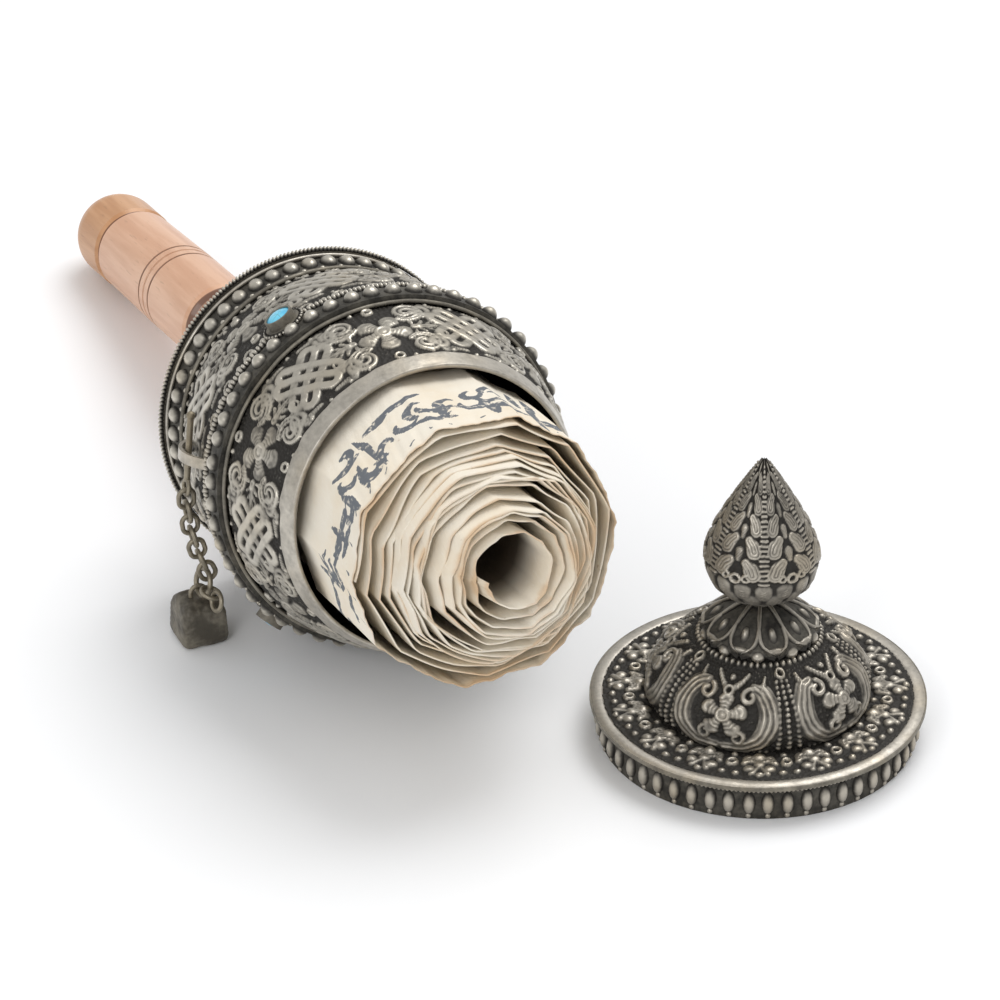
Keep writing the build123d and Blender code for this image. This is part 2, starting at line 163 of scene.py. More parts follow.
# Heights over a strip that closes round its girth, in mm: u runs round, v runs across.
class Relief:
    def __init__(self, girth, width, step, seed, unevenness=0.07):
        self.girth = girth
        self.columns = int(girth / step)
        self.rows = int(width / step) + 1
        self.u = np.arange(self.columns) * girth / self.columns
        self.v = np.linspace(0, width, self.rows)
        self.height = np.zeros((self.rows, self.columns))
        self.random = np.random.default_rng(seed)
        self.unevenness = unevenness

    # Rows, wrapped columns and flat coordinates of the grid between two corners.
    def window(self, low, high):
        spacing = self.girth / self.columns
        margin = 2.5 * self.unevenness
        first, last = math.floor((low[0] - margin) / spacing), math.ceil((high[0] + margin) / spacing)
        columns = np.arange(first, last + 1)
        rows = np.flatnonzero((self.v >= low[1] - margin) & (self.v <= high[1] + margin))
        across, along = np.meshgrid(columns * spacing, self.v[rows])
        turn = 2 * math.pi * across / self.girth
        drift = self.unevenness * (np.sin(23 * turn + 0.8 * along) + 0.6 * np.sin(61 * turn - 1.7 * along))
        rise = self.unevenness * (np.sin(31 * turn + 0.6 * along) + 0.6 * np.sin(77 * turn + 1.9 * along))
        return np.ix_(rows, columns % self.columns), across + drift, along + rise

    def raiseTo(self, index, height):
        self.height[index] = np.maximum(self.height[index], height)

    # A bar or leaf along a path, with half widths at its points, cut ribs and a vein if asked.
    def stroke(self, path, width, height, ribs=0.0, lean=0.7, vein=0.0, flat=2.0, flutes=0.0):
        path = np.asarray(path, float)
        width = np.broadcast_to(np.asarray(width, float), len(path))
        reach = width.max() + 0.1
        index, across, along = self.window(path.min(axis=0) - reach, path.max(axis=0) + reach)
        if across.size == 0:
            return
        spot = np.stack([across, along], axis=-1)[..., None, :]
        start, run = path[:-1], np.diff(path, axis=0)
        length = np.linalg.norm(run, axis=1) + 1e-9
        share = np.clip(((spot - start) * run).sum(-1) / length**2, 0, 1)
        nearest = start + share[..., None] * run
        distance = np.linalg.norm(spot - nearest, axis=-1)
        breadth = width[:-1] + share * np.diff(width) + 1e-6
        ratio = distance / breadth
        best = ratio.argmin(axis=-1)[..., None]
        ratio = np.take_along_axis(ratio, best, -1)[..., 0]
        side = np.take_along_axis(distance, best, -1)[..., 0]
        travel = np.concatenate([[0], np.cumsum(length)])[:-1] + share * length
        travel = np.take_along_axis(travel, best, -1)[..., 0]
        body = np.where(ratio < 1, (1 - np.clip(ratio, 0, 1) ** flat) ** 0.5, 0)
        if ribs:
            body = body * (1 - 0.22 * (0.5 + 0.5 * np.cos(2 * math.pi * (travel + lean * side) / ribs)))
        if flutes:
            body = body * (1 - 0.30 * (0.5 - 0.5 * np.cos(2 * math.pi * side / flutes)))
        if vein:
            body = body * (1 - vein * np.exp(-((ratio / 0.22) ** 2)))
        self.raiseTo(index, height * body)

    def ball(self, place, radius, height):
        x, y = place
        index, across, along = self.window((x - radius, y - radius), (x + radius, y + radius))
        ratio = np.hypot(across - x, along - y) / radius
        self.raiseTo(index, height * np.sqrt(np.clip(1 - ratio**2, 0, 1)))

    def ring(self, place, radius, width, height):
        turn = np.linspace(0, 2 * math.pi, 15)
        path = np.stack([place[0] + radius * np.cos(turn), place[1] + radius * np.sin(turn)], axis=1)
        self.stroke(path, width, height)

    # A ground of small punched knobs, one in each cell, off its middle.
    def pebbles(self, pitch, height):
        across, along = np.meshgrid(self.u, self.v)
        cellsRound = int(self.girth / pitch)
        pitchRound = self.girth / cellsRound
        cellsAcross = int(self.v[-1] / pitch) + 3
        jitter = self.random.uniform(-0.28, 0.28, (cellsAcross, cellsRound, 2))
        size = self.random.uniform(0.36, 0.52, (cellsAcross, cellsRound))
        column, row = np.floor(across / pitchRound).astype(int), np.floor(along / pitch).astype(int)
        ground = np.zeros_like(across)
        for rowStep in (-1, 0, 1):
            for columnStep in (-1, 0, 1):
                cellRow, cellColumn = row + rowStep + 1, column + columnStep
                wrapped = cellColumn % cellsRound
                du = across - (cellColumn + 0.5 + jitter[cellRow, wrapped, 0]) * pitchRound
                dv = along - (cellRow - 0.5 + jitter[cellRow, wrapped, 1]) * pitch
                ratio = np.hypot(du, dv) / (size[cellRow, wrapped] * pitch)
                ground = np.maximum(ground, np.clip(1 - ratio**2, 0, 1) ** 0.5)
        self.height = np.maximum(self.height, ground * height)

    # Uneven heights and small hammer marks, as handwork leaves them.
    def aged(self, share):
        for times, size in ((40, 2.0), (6, 0.25)):
            noise = Relief.blurred(self.random.normal(0, 1, self.height.shape), times)
            self.height = self.height * (1 + share * size * noise)

    # The heights blurred by averaging each point with its neighbours.
    def softened(self, times):
        return Relief.blurred(self.height, times)

    @staticmethod
    def blurred(soft, times):
        for _ in range(times):
            padded = np.concatenate([soft[:1], soft, soft[-1:]])
            soft = (padded[:-2] + 2 * padded[1:-1] + padded[2:]) / 4
            soft = (np.roll(soft, 1, axis=1) + 2 * soft + np.roll(soft, -1, axis=1)) / 4
        return soft

    # 0 in the dark hollows to 1 on the rubbed highs.
    def polish(self, top):
        proud = self.height - self.softened(14)
        level = 0.60 * self.height / top + 0.80 * proud / top - 0.05
        return np.clip(level, 0, 1)


# A smooth curve through the points, as Catmull and Rom draw it.
def smoothOutline(points, count=120):
    points = np.asarray(points, float)
    padded = np.concatenate([2 * points[:1] - points[1:2], points, 2 * points[-1:] - points[-2:-1]])
    runs = []
    for index in range(len(points) - 1):
        share = np.linspace(0, 1, count // (len(points) - 1), endpoint=False)[:, None]
        a, b, c, d = padded[index:index + 4]
        bend, twist = 2 * a - 5 * b + 4 * c - d, 3 * b - a - 3 * c + d
        runs.append(0.5 * (2 * b + (c - a) * share + bend * share**2 + twist * share**3))
    return np.concatenate([*runs, points[-1:]])


def spiral(centre, startRadius, endRadius, startAngle, endAngle, count=16):
    share = np.linspace(0, 1, count)
    radius = startRadius + (endRadius - startRadius) * share
    turn = np.radians(startAngle + (endAngle - startAngle) * share)
    return np.stack([centre[0] + radius * np.cos(turn), centre[1] + radius * np.sin(turn)], axis=1)


# Ribbed round petals about a centre ring.
def flower(relief, place, size, petals, height, turn=90):
    for petal in range(petals):
        angle = math.radians(turn + 360 * petal / petals)
        inner = (place[0] + 0.34 * size * math.cos(angle), place[1] + 0.34 * size * math.sin(angle))
        outer = (place[0] + 0.66 * size * math.cos(angle), place[1] + 0.66 * size * math.sin(angle))
        relief.stroke([inner, outer], [0.24 * size, 0.39 * size], height, ribs=0.9, lean=0.35, flat=3)
    relief.ball(place, 0.27 * size, height * 1.12)
    relief.ring(place, 0.24 * size, 0.1 * size, height * 1.2)


# A C-scroll that starts at a place, sweeps out at an angle and curls in, with side lobes.
def curledLeaf(relief, place, size, angle, hand, height):
    turn = math.radians(angle)
    centre = (place[0] + size * math.cos(turn), place[1] + size * math.sin(turn))
    path = spiral(centre, size, 0.34 * size, angle + 180, angle + 180 + hand * 400, 22)
    share = np.linspace(0, 1, 22)
    width = 0.17 + 0.22 * np.sin(math.pi * share) ** 1.5 + 0.06 * share**3
    relief.stroke(path, size * width, height, vein=0.45, flat=5)
    for lobe, long in ((0.14, 0.50), (0.28, 0.62), (0.42, 0.66), (0.56, 0.55)):
        spot = path[int(lobe * 21)]
        outward = (spot - np.array(centre)) / size
        sweep = np.array([-outward[1], outward[0]]) * hand * 0.35
        tip = spot + (outward + sweep) * long * size
        relief.stroke([spot, tip], [0.22 * size, 0.10 * size], height * 0.92, vein=0.3, flat=5)


# A straight leaf with a vein and pairs of swept lobes.
def leafFrond(relief, place, length, angle, height, pairs=3):
    turn = math.radians(angle)
    along = np.array([math.cos(turn), math.sin(turn)])
    side = np.array([-along[1], along[0]])
    start = np.array(place, float)
    relief.stroke([start, start + along * length], [0.15 * length, 0.06 * length], height, vein=0.3, flat=4)
    for pair in range(pairs):
        root = start + along * length * (0.12 + 0.26 * pair)
        for hand in (-1, 1):
            tip = root + along * length * 0.24 + side * hand * length * (0.34 - 0.07 * pair)
            relief.stroke([root, tip], [0.13 * length, 0.07 * length], height * 0.9, ribs=0.8, flat=4)


# An endless knot: two sets of slanted bars that cross, joined by loops, with curls in the corners.
def knotPanel(relief, place, size, height):
    x, y = place
    step = size * 0.165
    bar = size * 0.060
    slant = math.sqrt(0.5)

    def turned(points):
        return [(x + slant * (a - b), y + slant * (a + b)) for a, b in points]

    for lane in (-1, 0, 1):
        relief.stroke(turned([(-2 * step, lane * step), (2 * step, lane * step)]), bar, height, flat=5)
        strand = turned([(lane * step, -2 * step), (lane * step, 2 * step)])
        relief.stroke(strand, bar, height * 0.86, flat=5)
    for way in (-1, 1):
        for first, second in ((-1, 0), (0, 1)):
            middle = (first + second) * step / 2
            bow = [(middle + 0.5 * step * math.cos(a), way * (2 * step + 0.5 * step * math.sin(a)))
                   for a in np.linspace(math.pi, 0, 7)]
            relief.stroke(turned(bow), bar, height, flat=4)
            relief.stroke(turned([(b, a) for a, b in bow]), bar, height, flat=4)
        for side in (-1, 1):
            corner = (x + way * 0.43 * size, y + side * 0.36 * size)
            curl = spiral(corner, 0.125 * size, 0.045 * size, 200 * way, 200 * way + side * 400)
            relief.stroke(curl, bar * 0.9, height * 0.9)
            ends = ((0.30, 0.46), (0.12, 0.47))
            leaf = [(x + way * out * size, y + side * rise * size) for out, rise in ends]
            relief.stroke(leaf, [bar, bar * 0.5], height * 0.8, ribs=0.8)
        relief.ball((x + way * 0.56 * size, y), 0.055 * size, height)


# Six flowers in curled leaves, six panels between them, and ring bosses, on a punched ground.
def drumRelief(girth, width, seed, shift):
    relief = Relief(girth, width, 0.33, seed)
    relief.pebbles(1.0, 0.30)
    top = 1.05
    middle = width / 2
    turn = girth / 6
    reach = min(width, 25) / 2
    spare = (width - 2 * reach) / 2
    for repeat in range(6):
        place = girth * (25 + shift) / 360 + repeat * turn
        flower(relief, (place, middle), 0.56 * reach, 5, top)
        for hand in (-1, 1):
            for side in (-1, 1):
                start = (place + hand * 0.42 * reach, middle + side * 0.36 * reach)
                angle = 90 - hand * 48 if side > 0 else 270 + hand * 48
                curledLeaf(relief, start, 0.31 * reach, angle, hand * side, top * 0.95)
                tip = (place + hand * 1.02 * reach, middle + side * 0.80 * reach)
                bend = (place + hand * 0.72 * reach, middle + side * 0.52 * reach)
                stem = smoothOutline([start, bend, tip], 14)
                relief.stroke(stem, np.linspace(0.7, 1.5, 15), top * 0.85, ribs=0.9, vein=0.3, flat=4)
                relief.ball((place + hand * 1.14 * reach, middle + side * 0.86 * reach), 0.8, top * 0.9)
            leafFrond(relief, (place + hand * 0.62 * reach, middle), 0.58 * reach, 90 - hand * 90, top * 0.85)
            relief.ring((place + hand * 1.10 * reach, middle + 0.28 * reach), 1.25, 0.45, top)
            relief.ball((place + hand * 0.30 * reach, middle + hand * 0.92 * reach), 0.75, top * 0.8)
        for side in (-1, 1):
            relief.ring((place, middle + side * 0.84 * reach), 1.05, 0.45, top)
        panel = place + turn / 2
        knotPanel(relief, (panel, middle), 1.72 * reach, top)
        for side in (-1, 1):
            relief.ball((panel - 0.02 * reach, middle + side * 0.9 * reach), 0.7, top * 0.7)
    if spare > 1.5:
        for spot in np.arange(0, girth, girth / 30):
            for edge, lean in ((spare * 0.62, 1), (width - spare * 0.62, -1)):
                path = spiral((spot, edge), 1.75, 0.7, 200 * lean, -60 * lean, 12)
                relief.stroke(path, 0.62, top * 0.85, ribs=0.9)
                relief.ball((spot + girth / 60, edge), 0.95, top * 0.8)
    relief.aged(0.5)
    return relief, top


# A number from a node. Python operators on it add Math nodes.
class Socket:
    def __init__(self, shader, link):
        self.shader = shader
        self.link = link

    def maths(self, operation, other, swapped=False):
        first, second = (other, self) if swapped else (self, other)
        values = {0: getattr(first, "link", first), 1: getattr(second, "link", second)}
        made = self.shader.node("ShaderNodeMath", {"operation": operation}, values)
        return Socket(self.shader, made.outputs[0])

    def __add__(self, other):
        return self.maths("ADD", other)

    def __radd__(self, other):
        return self.maths("ADD", other, True)

    def __sub__(self, other):
        return self.maths("SUBTRACT", other)

    def __rsub__(self, other):
        return self.maths("SUBTRACT", other, True)

    def __mul__(self, other):
        return self.maths("MULTIPLY", other)

    def __rmul__(self, other):
        return self.maths("MULTIPLY", other, True)

    def clamped(self):
        return self.maths("MAXIMUM", 0.0).maths("MINIMUM", 1.0)


# A material under construction.
class Shader:
    def __init__(self, name):
        self.material = bpy.data.materials.new(name)
        self.material.use_nodes = True
        self.tree = self.material.node_tree
        self.surface = self.tree.nodes["Principled BSDF"]

    # Any node: its settings first, ramp stops among them, then its sockets' values or links.
    def node(self, kind, settings=None, values=None):
        made = self.tree.nodes.new(kind)
        for key, setting in (settings or {}).items():
            if key == "stops":
                ramp = made.color_ramp
                while len(ramp.elements) < len(setting):
                    ramp.elements.new(0.5)
                for element, (place, colour) in zip(ramp.elements, setting):
                    element.position = place
                    element.color = (*colour, 1)
            else:
                setattr(made, key, setting)
        for key, value in (values or {}).items():
            self.put(made.inputs[key], value)
        return made

    def put(self, socket, value):
        value = getattr(value, "link", value)
        if isinstance(value, bpy.types.NodeSocket):
            self.tree.links.new(value, socket)
        else:
            socket.default_value = value

    def finish(self, **values):
        for key, value in values.items():
            self.put(self.surface.inputs[key.replace("_", " ")], value)
        return self.material

    def spot(self):
        return self.node("ShaderNodeTexCoord").outputs["Object"]

    def noise(self, scale, detail=3.0, vector=None, roughness=0.55):
        values = {"Vector": vector or self.spot(), "Scale": scale, "Detail": detail, "Roughness": roughness}
        return Socket(self, self.node("ShaderNodeTexNoise", None, values).outputs[0])

    def stretched(self, rotation, scale):
        mapped = self.node("ShaderNodeMapping", {"vector_type": "TEXTURE"},
                           {"Vector": self.spot(), "Rotation": rotation, "Scale": scale})
        return mapped.outputs[0]

    def attribute(self, name):
        return Socket(self, self.node("ShaderNodeAttribute", {"attribute_name": name}).outputs["Fac"])

    # 0 below low, 1 above high, smooth between.
    def band(self, value, low, high):
        made = self.node("ShaderNodeMapRange", {"interpolation_type": "SMOOTHSTEP"},
                         {"Value": value, "From Min": low, "From Max": high})
        return Socket(self, made.outputs[0])

    def mix(self, share, first, second):
        made = self.node("ShaderNodeMix", {"data_type": "RGBA"})
        self.put(made.inputs[0], share)
        self.put(made.inputs[6], (*first, 1) if isinstance(first, tuple) else first)
        self.put(made.inputs[7], (*second, 1) if isinstance(second, tuple) else second)
        return made.outputs[2]

    def bump(self, height, distance, strength=0.6):
        return self.node("ShaderNodeBump", None,
                         {"Height": height, "Distance": distance, "Strength": strength}).outputs[0]


# Old silver: black in the hollows, rubbed on the highs. level is a relief attribute or a number.
def silverPaint(name, dark, bright, level, roughness, tone=0.0):
    shader = Shader(name)
    grime = shader.noise(900.0, 4.0)
    patches = shader.noise(140.0, 3.0)
    base = shader.attribute("relief") if level is None else shader.noise(260.0, 4.0) * 0.4 + level
    rubbed = shader.band(base + (grime - 0.5) * 0.30 + (patches - 0.5) * 0.36, 0.10, 0.76)
    warm = tuple(value * factor for value, factor in zip(bright, (0.86, 0.76, 0.60)))
    yellowed = shader.band(shader.noise(60.0, 2.0), 0.45, 0.75) * (0.45 + tone)
    high = shader.mix(yellowed.clamped(), bright, warm)
    colour = shader.mix(rubbed, dark, high)
    scratches = shader.noise(2600.0, 2.0)
    return shader.finish(Base_Color=colour, Metallic=0.35 + rubbed * 0.55,
                         Roughness=(roughness + 0.28 - rubbed * 0.30 + (grime - 0.5) * 0.16).clamped(),
                         Normal=shader.bump(grime * 0.7 + scratches * 0.3, 0.00012, 0.7))


# Close-grained turned wood, with dark cut rings where line gives their places along the axis.
def woodPaint(name, pale, deep, line):
    shader = Shader(name)
    tilt = math.atan2(wheelAxis[2], wheelAxis[0])
    grainSpace = shader.stretched((0, -tilt, 0), (0.05, 0.004, 0.004))
    grain = shader.noise(1.0, 5.0, grainSpace)
    pores = shader.noise(1.0, 2.0, shader.stretched((0, -tilt, 0), (0.006, 0.0006, 0.0006)))
    wear = shader.noise(45.0, 3.0)
    colour = shader.mix(shader.band(grain, 0.35, 0.68), pale, deep)
    colour = shader.mix(shader.band(pores, 0.62, 0.75) * 0.35, colour, tuple(value * 0.55 for value in deep))
    colour = shader.mix(shader.band(wear, 0.5, 0.8) * 0.3, colour, tuple(value * 1.08 for value in pale))
    along = shader.node("ShaderNodeVectorMath", {"operation": "DOT_PRODUCT"},
                        {0: shader.spot(), 1: tuple(wheelAxis)}).outputs["Value"]
    along = Socket(shader, along) - float(rimCentre @ wheelAxis)
    for place, width in line:
        away = (along - place * mm).maths("ABSOLUTE", 0.0)
        mark = 1.0 - shader.band(away + (grain - 0.5) * 0.0002, width * mm * 0.6, width * mm)
        colour = shader.mix(mark * 0.85, colour, (0.10, 0.035, 0.018))
    return shader.finish(Base_Color=colour, Roughness=0.40 + wear * 0.16, Coat_Weight=0.25,
                         Normal=shader.bump(grain * 0.5 + pores * 0.5, 0.00015, 0.35))


# Soft bast-fibre paper: cream, flecked, tan towards its edges and inked where the attribute says, with
# painted shade where the deep attribute marks the inside of the core.
def paperPaint(name, shade):
    shader = Shader(name)
    fibres = shader.noise(1.0, 4.0, shader.stretched((0.3, 0.5, 0.2), (0.004, 0.0007, 0.0007)))
    cloud = shader.noise(55.0, 4.0)
    flecks = shader.noise(420.0, 3.0)
    colour = shader.mix(shader.band(cloud, 0.35, 0.7), shade["cream"], shade["warm"])
    colour = shader.mix(shader.band(fibres, 0.55, 0.8) * 0.45, colour, shade["fibre"])
    edge = shader.attribute("edge")
    stain = (shader.band(edge + (cloud - 0.5) * 1.4, 0.50, 1.20) * 0.70).clamped()
    colour = shader.mix(stain, colour, shade["tan"])
    colour = shader.mix(shader.band(flecks, 0.70, 0.78) * 0.5, colour, shade["fleck"])
    ink = shader.attribute("ink")
    broken = shader.band(shader.noise(700.0, 3.0), 0.28, 0.46)
    inked = shader.band(ink + (shader.noise(300.0, 3.0) - 0.5) * 0.5, 0.42, 0.62) * broken
    colour = shader.mix(inked * 0.92, colour, shade["ink"])
    # Painted shade: the deep attribute darkens the innermost turns to near-black brown, in place of the shade
    # inside the scroll's core.
    colour = shader.mix(shader.attribute("deep") * 0.92, colour, shade["deep"])
    return shader.finish(Base_Color=colour, Roughness=0.82 - inked * 0.1, Specular_IOR_Level=0.25,
                         Normal=shader.bump(fibres * 0.6 + cloud * 0.4, 0.0004, 0.5))


# A mottled finish between two colours.
def plainPaint(name, first, second, roughness, metallic, scale=180.0, coat=0.0, bump=0.00012):
    shader = Shader(name)
    mottle = shader.noise(scale, 5.0)
    fine = shader.noise(scale * 7, 2.0)
    colour = shader.mix(shader.band(mottle + (fine - 0.5) * 0.3, 0.36, 0.66), first, second)
    return shader.finish(Base_Color=colour, Metallic=metallic, Coat_Weight=coat,
                         Roughness=(roughness + (mottle - 0.5) * 0.25).clamped(),
                         Normal=shader.bump(mottle * 0.6 + fine * 0.4, bump, 0.6))


# Turquoise: sky blue with paler clouds and thin brown matrix lines.
def stonePaint(name):
    shader = Shader(name)
    cloud = shader.noise(320.0, 4.0)
    matrix = Socket(shader, shader.node("ShaderNodeTexVoronoi", {"feature": "DISTANCE_TO_EDGE"},
                                        {"Vector": shader.spot(), "Scale": 420.0}).outputs["Distance"])
    colour = shader.mix(shader.band(cloud, 0.35, 0.65), (0.06, 0.42, 0.68), (0.16, 0.60, 0.80))
    vein = (1.0 - shader.band(matrix, 0.0, 0.05)) * shader.band(cloud, 0.5, 0.62)
    colour = shader.mix(vein * 0.6, colour, (0.10, 0.09, 0.06))
    return shader.finish(Base_Color=colour, Roughness=0.22 + cloud * 0.15, Coat_Weight=0.4,
                         Normal=shader.bump(cloud, 0.00005, 0.4))


silverDark, silverBright = (0.026, 0.023, 0.019), (0.56, 0.525, 0.455)
# deep is the colour of the painted shade inside the scroll's core.
paperShades = {
    "cream": (0.83, 0.77, 0.66), "warm": (0.80, 0.70, 0.55), "fibre": (0.88, 0.84, 0.76),
    "tan": (0.62, 0.40, 0.21), "fleck": (0.48, 0.33, 0.20),
    "ink": (0.085, 0.105, 0.135), "deep": (0.055, 0.035, 0.02),
}
paint = {
    "relief": silverPaint("reliefSilver", silverDark, silverBright, None, 0.36),
    "lid": silverPaint("lidSilver", silverDark, (0.45, 0.415, 0.355), None, 0.36),
    "worn": silverPaint("wornSilver", (0.10, 0.092, 0.078), (0.60, 0.56, 0.49), 0.34, 0.36),
    "dark": silverPaint("darkSilver", (0.014, 0.013, 0.011), (0.26, 0.24, 0.20), 0.10, 0.46),
    "dull": silverPaint("dullSilver", (0.05, 0.045, 0.038), (0.36, 0.33, 0.27), 0.22, 0.42),
    "chain": silverPaint("chainSilver", (0.05, 0.042, 0.030), (0.42, 0.37, 0.28), 0.28, 0.36, 0.15),
    "weight": plainPaint("oldCastMetal", (0.085, 0.075, 0.058), (0.24, 0.215, 0.17), 0.46, 0.5, 110.0,
                         bump=0.0005),
    "iron": plainPaint("oldIron", (0.09, 0.075, 0.06), (0.24, 0.21, 0.18), 0.42, 0.8),
    "brass": plainPaint("dullBrass", (0.30, 0.20, 0.09), (0.55, 0.41, 0.20), 0.36, 0.9),
    "copper": plainPaint("brownCopper", (0.16, 0.055, 0.03), (0.36, 0.15, 0.085), 0.38, 0.75),
    "bone": plainPaint("oldBone", (0.62, 0.52, 0.36), (0.78, 0.70, 0.55), 0.42, 0.0, 120.0, 0.2),
    "grip": woodPaint("gripWood", (0.72, 0.44, 0.29), (0.60, 0.33, 0.20),
                      [(-93.8, 0.55), (-97.3, 0.40), (-100.8, 0.55), (-64.6, 0.7)]),
    "pommel": woodPaint("pommelWood", (0.60, 0.33, 0.17), (0.47, 0.23, 0.10), [(-136.1, 0.6)]),
    "paper": paperPaint("bastPaper", paperShades),
    "stone": stonePaint("turquoiseStone"),
}
print("materials made")


# A closed wall whose outside carries the relief, from an outline of places and radii.
def reliefShell(name, relief, top, profile, toPoint, wall, material, body, ground=0.0, turnStart=0.0):
    profile = evenly(profile, relief.rows)
    normal = profileNormals(profile)
    if normal[len(normal) // 2, 1] < 0:
        normal = -normal
    lift = relief.height - ground
    place = profile[:, None, 0] + normal[:, None, 0] * lift
    radius = profile[:, None, 1] + normal[:, None, 1] * lift
    angle = turnStart + 2 * math.pi * relief.u[None, :] / relief.girth
    outer = toPoint(place, np.maximum(radius, 0.02), angle)
    picks = np.linspace(0, relief.rows - 1, 7).astype(int)
    back = profile[picks] - normal[picks] * (wall + ground)
    inner = toPoint(back[:, None, 0], np.maximum(back[:, None, 1], 0.015), angle)
    points, faces = closedShell(outer, inner)
    polish = np.concatenate([relief.polish(top).reshape(-1), np.zeros(inner[..., 0].size)])
    return addPiece(name, points, faces, material, body, {"relief": polish})


def drumBand(half):
    band = bands[half]
    places = np.linspace(band["start"], band["end"], 60)
    profile = np.stack([places, barrelRadius(places, half)], axis=1)
    width = np.linalg.norm(np.diff(profile, axis=0), axis=1).sum()
    girth = 2 * math.pi * profile[:, 1].mean()
    relief, top = drumRelief(girth, width, band["seed"], band["shift"])
    piece = reliefShell(f"{half}_relief_band", relief, top, profile, wheelPoint, 0.5, paint["relief"],
                        "drum", 0.30)
    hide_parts(f"drum_wall_{half}")


bands = {  # shift turns a band's pattern, in degrees
    "rear": {"start": 9.2, "end": 42.5, "seed": 3, "shift": 28},
    "front": {"start": 53.0, "end": 77.2, "seed": 5, "shift": 0},
}
for half in bands:
    drumBand(half)
print("drum relief made")

lipBand = {
    "start": 76.7, "end": 81.9, "lift": 0.75, "under": 0.25, "columns": 420, "rows": 26,
    "ragged": 0.35, "dents": 26, "dent": 0.30, "lapAt": 0.18, "lapStep": 0.35,
}


# The plain band round the mouth: lapped edge a little ragged, a few dings, one lap seam.
def makeLipBand():
    columns, rows = lipBand["columns"], lipBand["rows"]
    angle = np.linspace(0, 2 * math.pi, columns, endpoint=False)
    ragged = lipBand["ragged"] * waves(angle, (0.4, 7, 1), (0.35, 17, 0), (0.25, 41, 2))
    share = np.linspace(0, 1, rows)[:, None]
    start = lipBand["start"] + ragged
    place = start + share * (lipBand["end"] - start)
    wall = barrelRadius(np.minimum(place, lipBand["end"]), "front")
    radius = wall + lipBand["lift"] * np.clip(share * 9, 0, 1) ** 0.5
    dents = dice.uniform((0, 0.1, 0.02, 0.3), (2 * math.pi, 0.9, 0.07, 1), (lipBand["dents"], 4))
    for spot, along, size, depth in dents:
        away = np.angle(np.exp(1j * (angle - spot)))
        hollow = np.exp(-((away / size) ** 2) - ((share - along) / 0.22) ** 2)
        radius = radius - lipBand["dent"] * depth * hollow
    away = np.angle(np.exp(1j * (angle - lipBand["lapAt"])))
    radius = radius + lipBand["lapStep"] * np.clip((away + 0.004) / 0.008, 0, 1) * np.exp(-np.abs(away) * 3)
    outer = wheelPoint(place, radius, angle)
    inner = wheelPoint(place[::5], wall[::5] - lipBand["under"], angle)
    points, faces = closedShell(outer, inner)
    piece = addPiece("mouth_band", points, faces, paint["worn"], "drum")
    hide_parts("lip_band")


makeLipBand()

lidSizes = {
    "ringInner": 25.2, "ringOuter": 37.0, "plateTop": 10.1, "clusters": 15, "front": math.radians(-44.4),
    "dome": [(10.0, 25.2), (14.5, 25.9), (19.0, 24.3), (22.3, 21.6), (26.0, 16.8), (28.2, 12.2)],
    "panels": 5, "collarBeads": 60,
}
bud = {
    "outline": [(39.6, 6.3), (41.2, 9.2), (44.0, 11.9), (49.0, 13.0), (54.0, 11.9), (60.0, 9.2), (67.0, 5.3),
                (75.2, 0.35)],
    "ribs": 6, "tiers": (14.6, 20.0, 25.2, 30.2, 35.0), "turn": math.radians(22),
    # Each row of scales is its place, count and length, and whether it stands half a step on.
    "scales": ((2.6, 12, 2.5, 0), (6.4, 14, 2.5, 1), (10.0, 16, 2.2, 0)),
}


# The flat of the lid: trefoil clusters on a punched ground between two plain lines.
def makeLidRing():
    middle = (lidSizes["ringInner"] + lidSizes["ringOuter"]) / 2
    girth, width = 2 * math.pi * middle, lidSizes["ringOuter"] - lidSizes["ringInner"]
    relief = Relief(girth, width, 0.33, 9)
    relief.pebbles(1.1, 0.34)
    clusters = lidSizes["clusters"]
    top = 1.3
    for index in range(clusters):
        x, y = girth * index / clusters, width * 0.48
        relief.ball((x, y + 3.0), 2.0, top * 1.15)
        relief.ball((x, y), 1.7, top)
        for hand in (-1, 1):
            path = [(x + hand * 0.8, y + 1.2), (x + hand * 2.6, y + 2.3), (x + hand * 3.6, y + 0.6)]
            relief.stroke(path, [1.3, 1.7, 1.1], top, ribs=0.9, vein=0.2)
            relief.ball((x + hand * 2.3, y - 1.7), 1.6, top * 0.95)
            relief.stroke([(x + hand * 0.4, y - 1.2), (x + hand * 1.7, y - 3.6)], [0.6, 0.9], top * 0.8)
            relief.ball((x + hand * 5.0, y - 3.2 + relief.random.uniform(-0.3, 0.3)), 1.0, top * 0.8)
        relief.ball((x, y - 4.0), 1.0, top * 0.9)
        between = x + girth / clusters / 2
        relief.ball((between, y + 3.9), 1.1, top * 0.8)
        relief.ring((between, y + 0.7), 1.1, 0.5, top * 0.9)
    relief.aged(0.5)
    profile = [(lidSizes["plateTop"] + 0.1, lidSizes[edge]) for edge in ("ringOuter", "ringInner")]
    piece = reliefShell("lid_ring_relief", relief, top, profile, lidPoint, 0.2, paint["lid"], "lid")


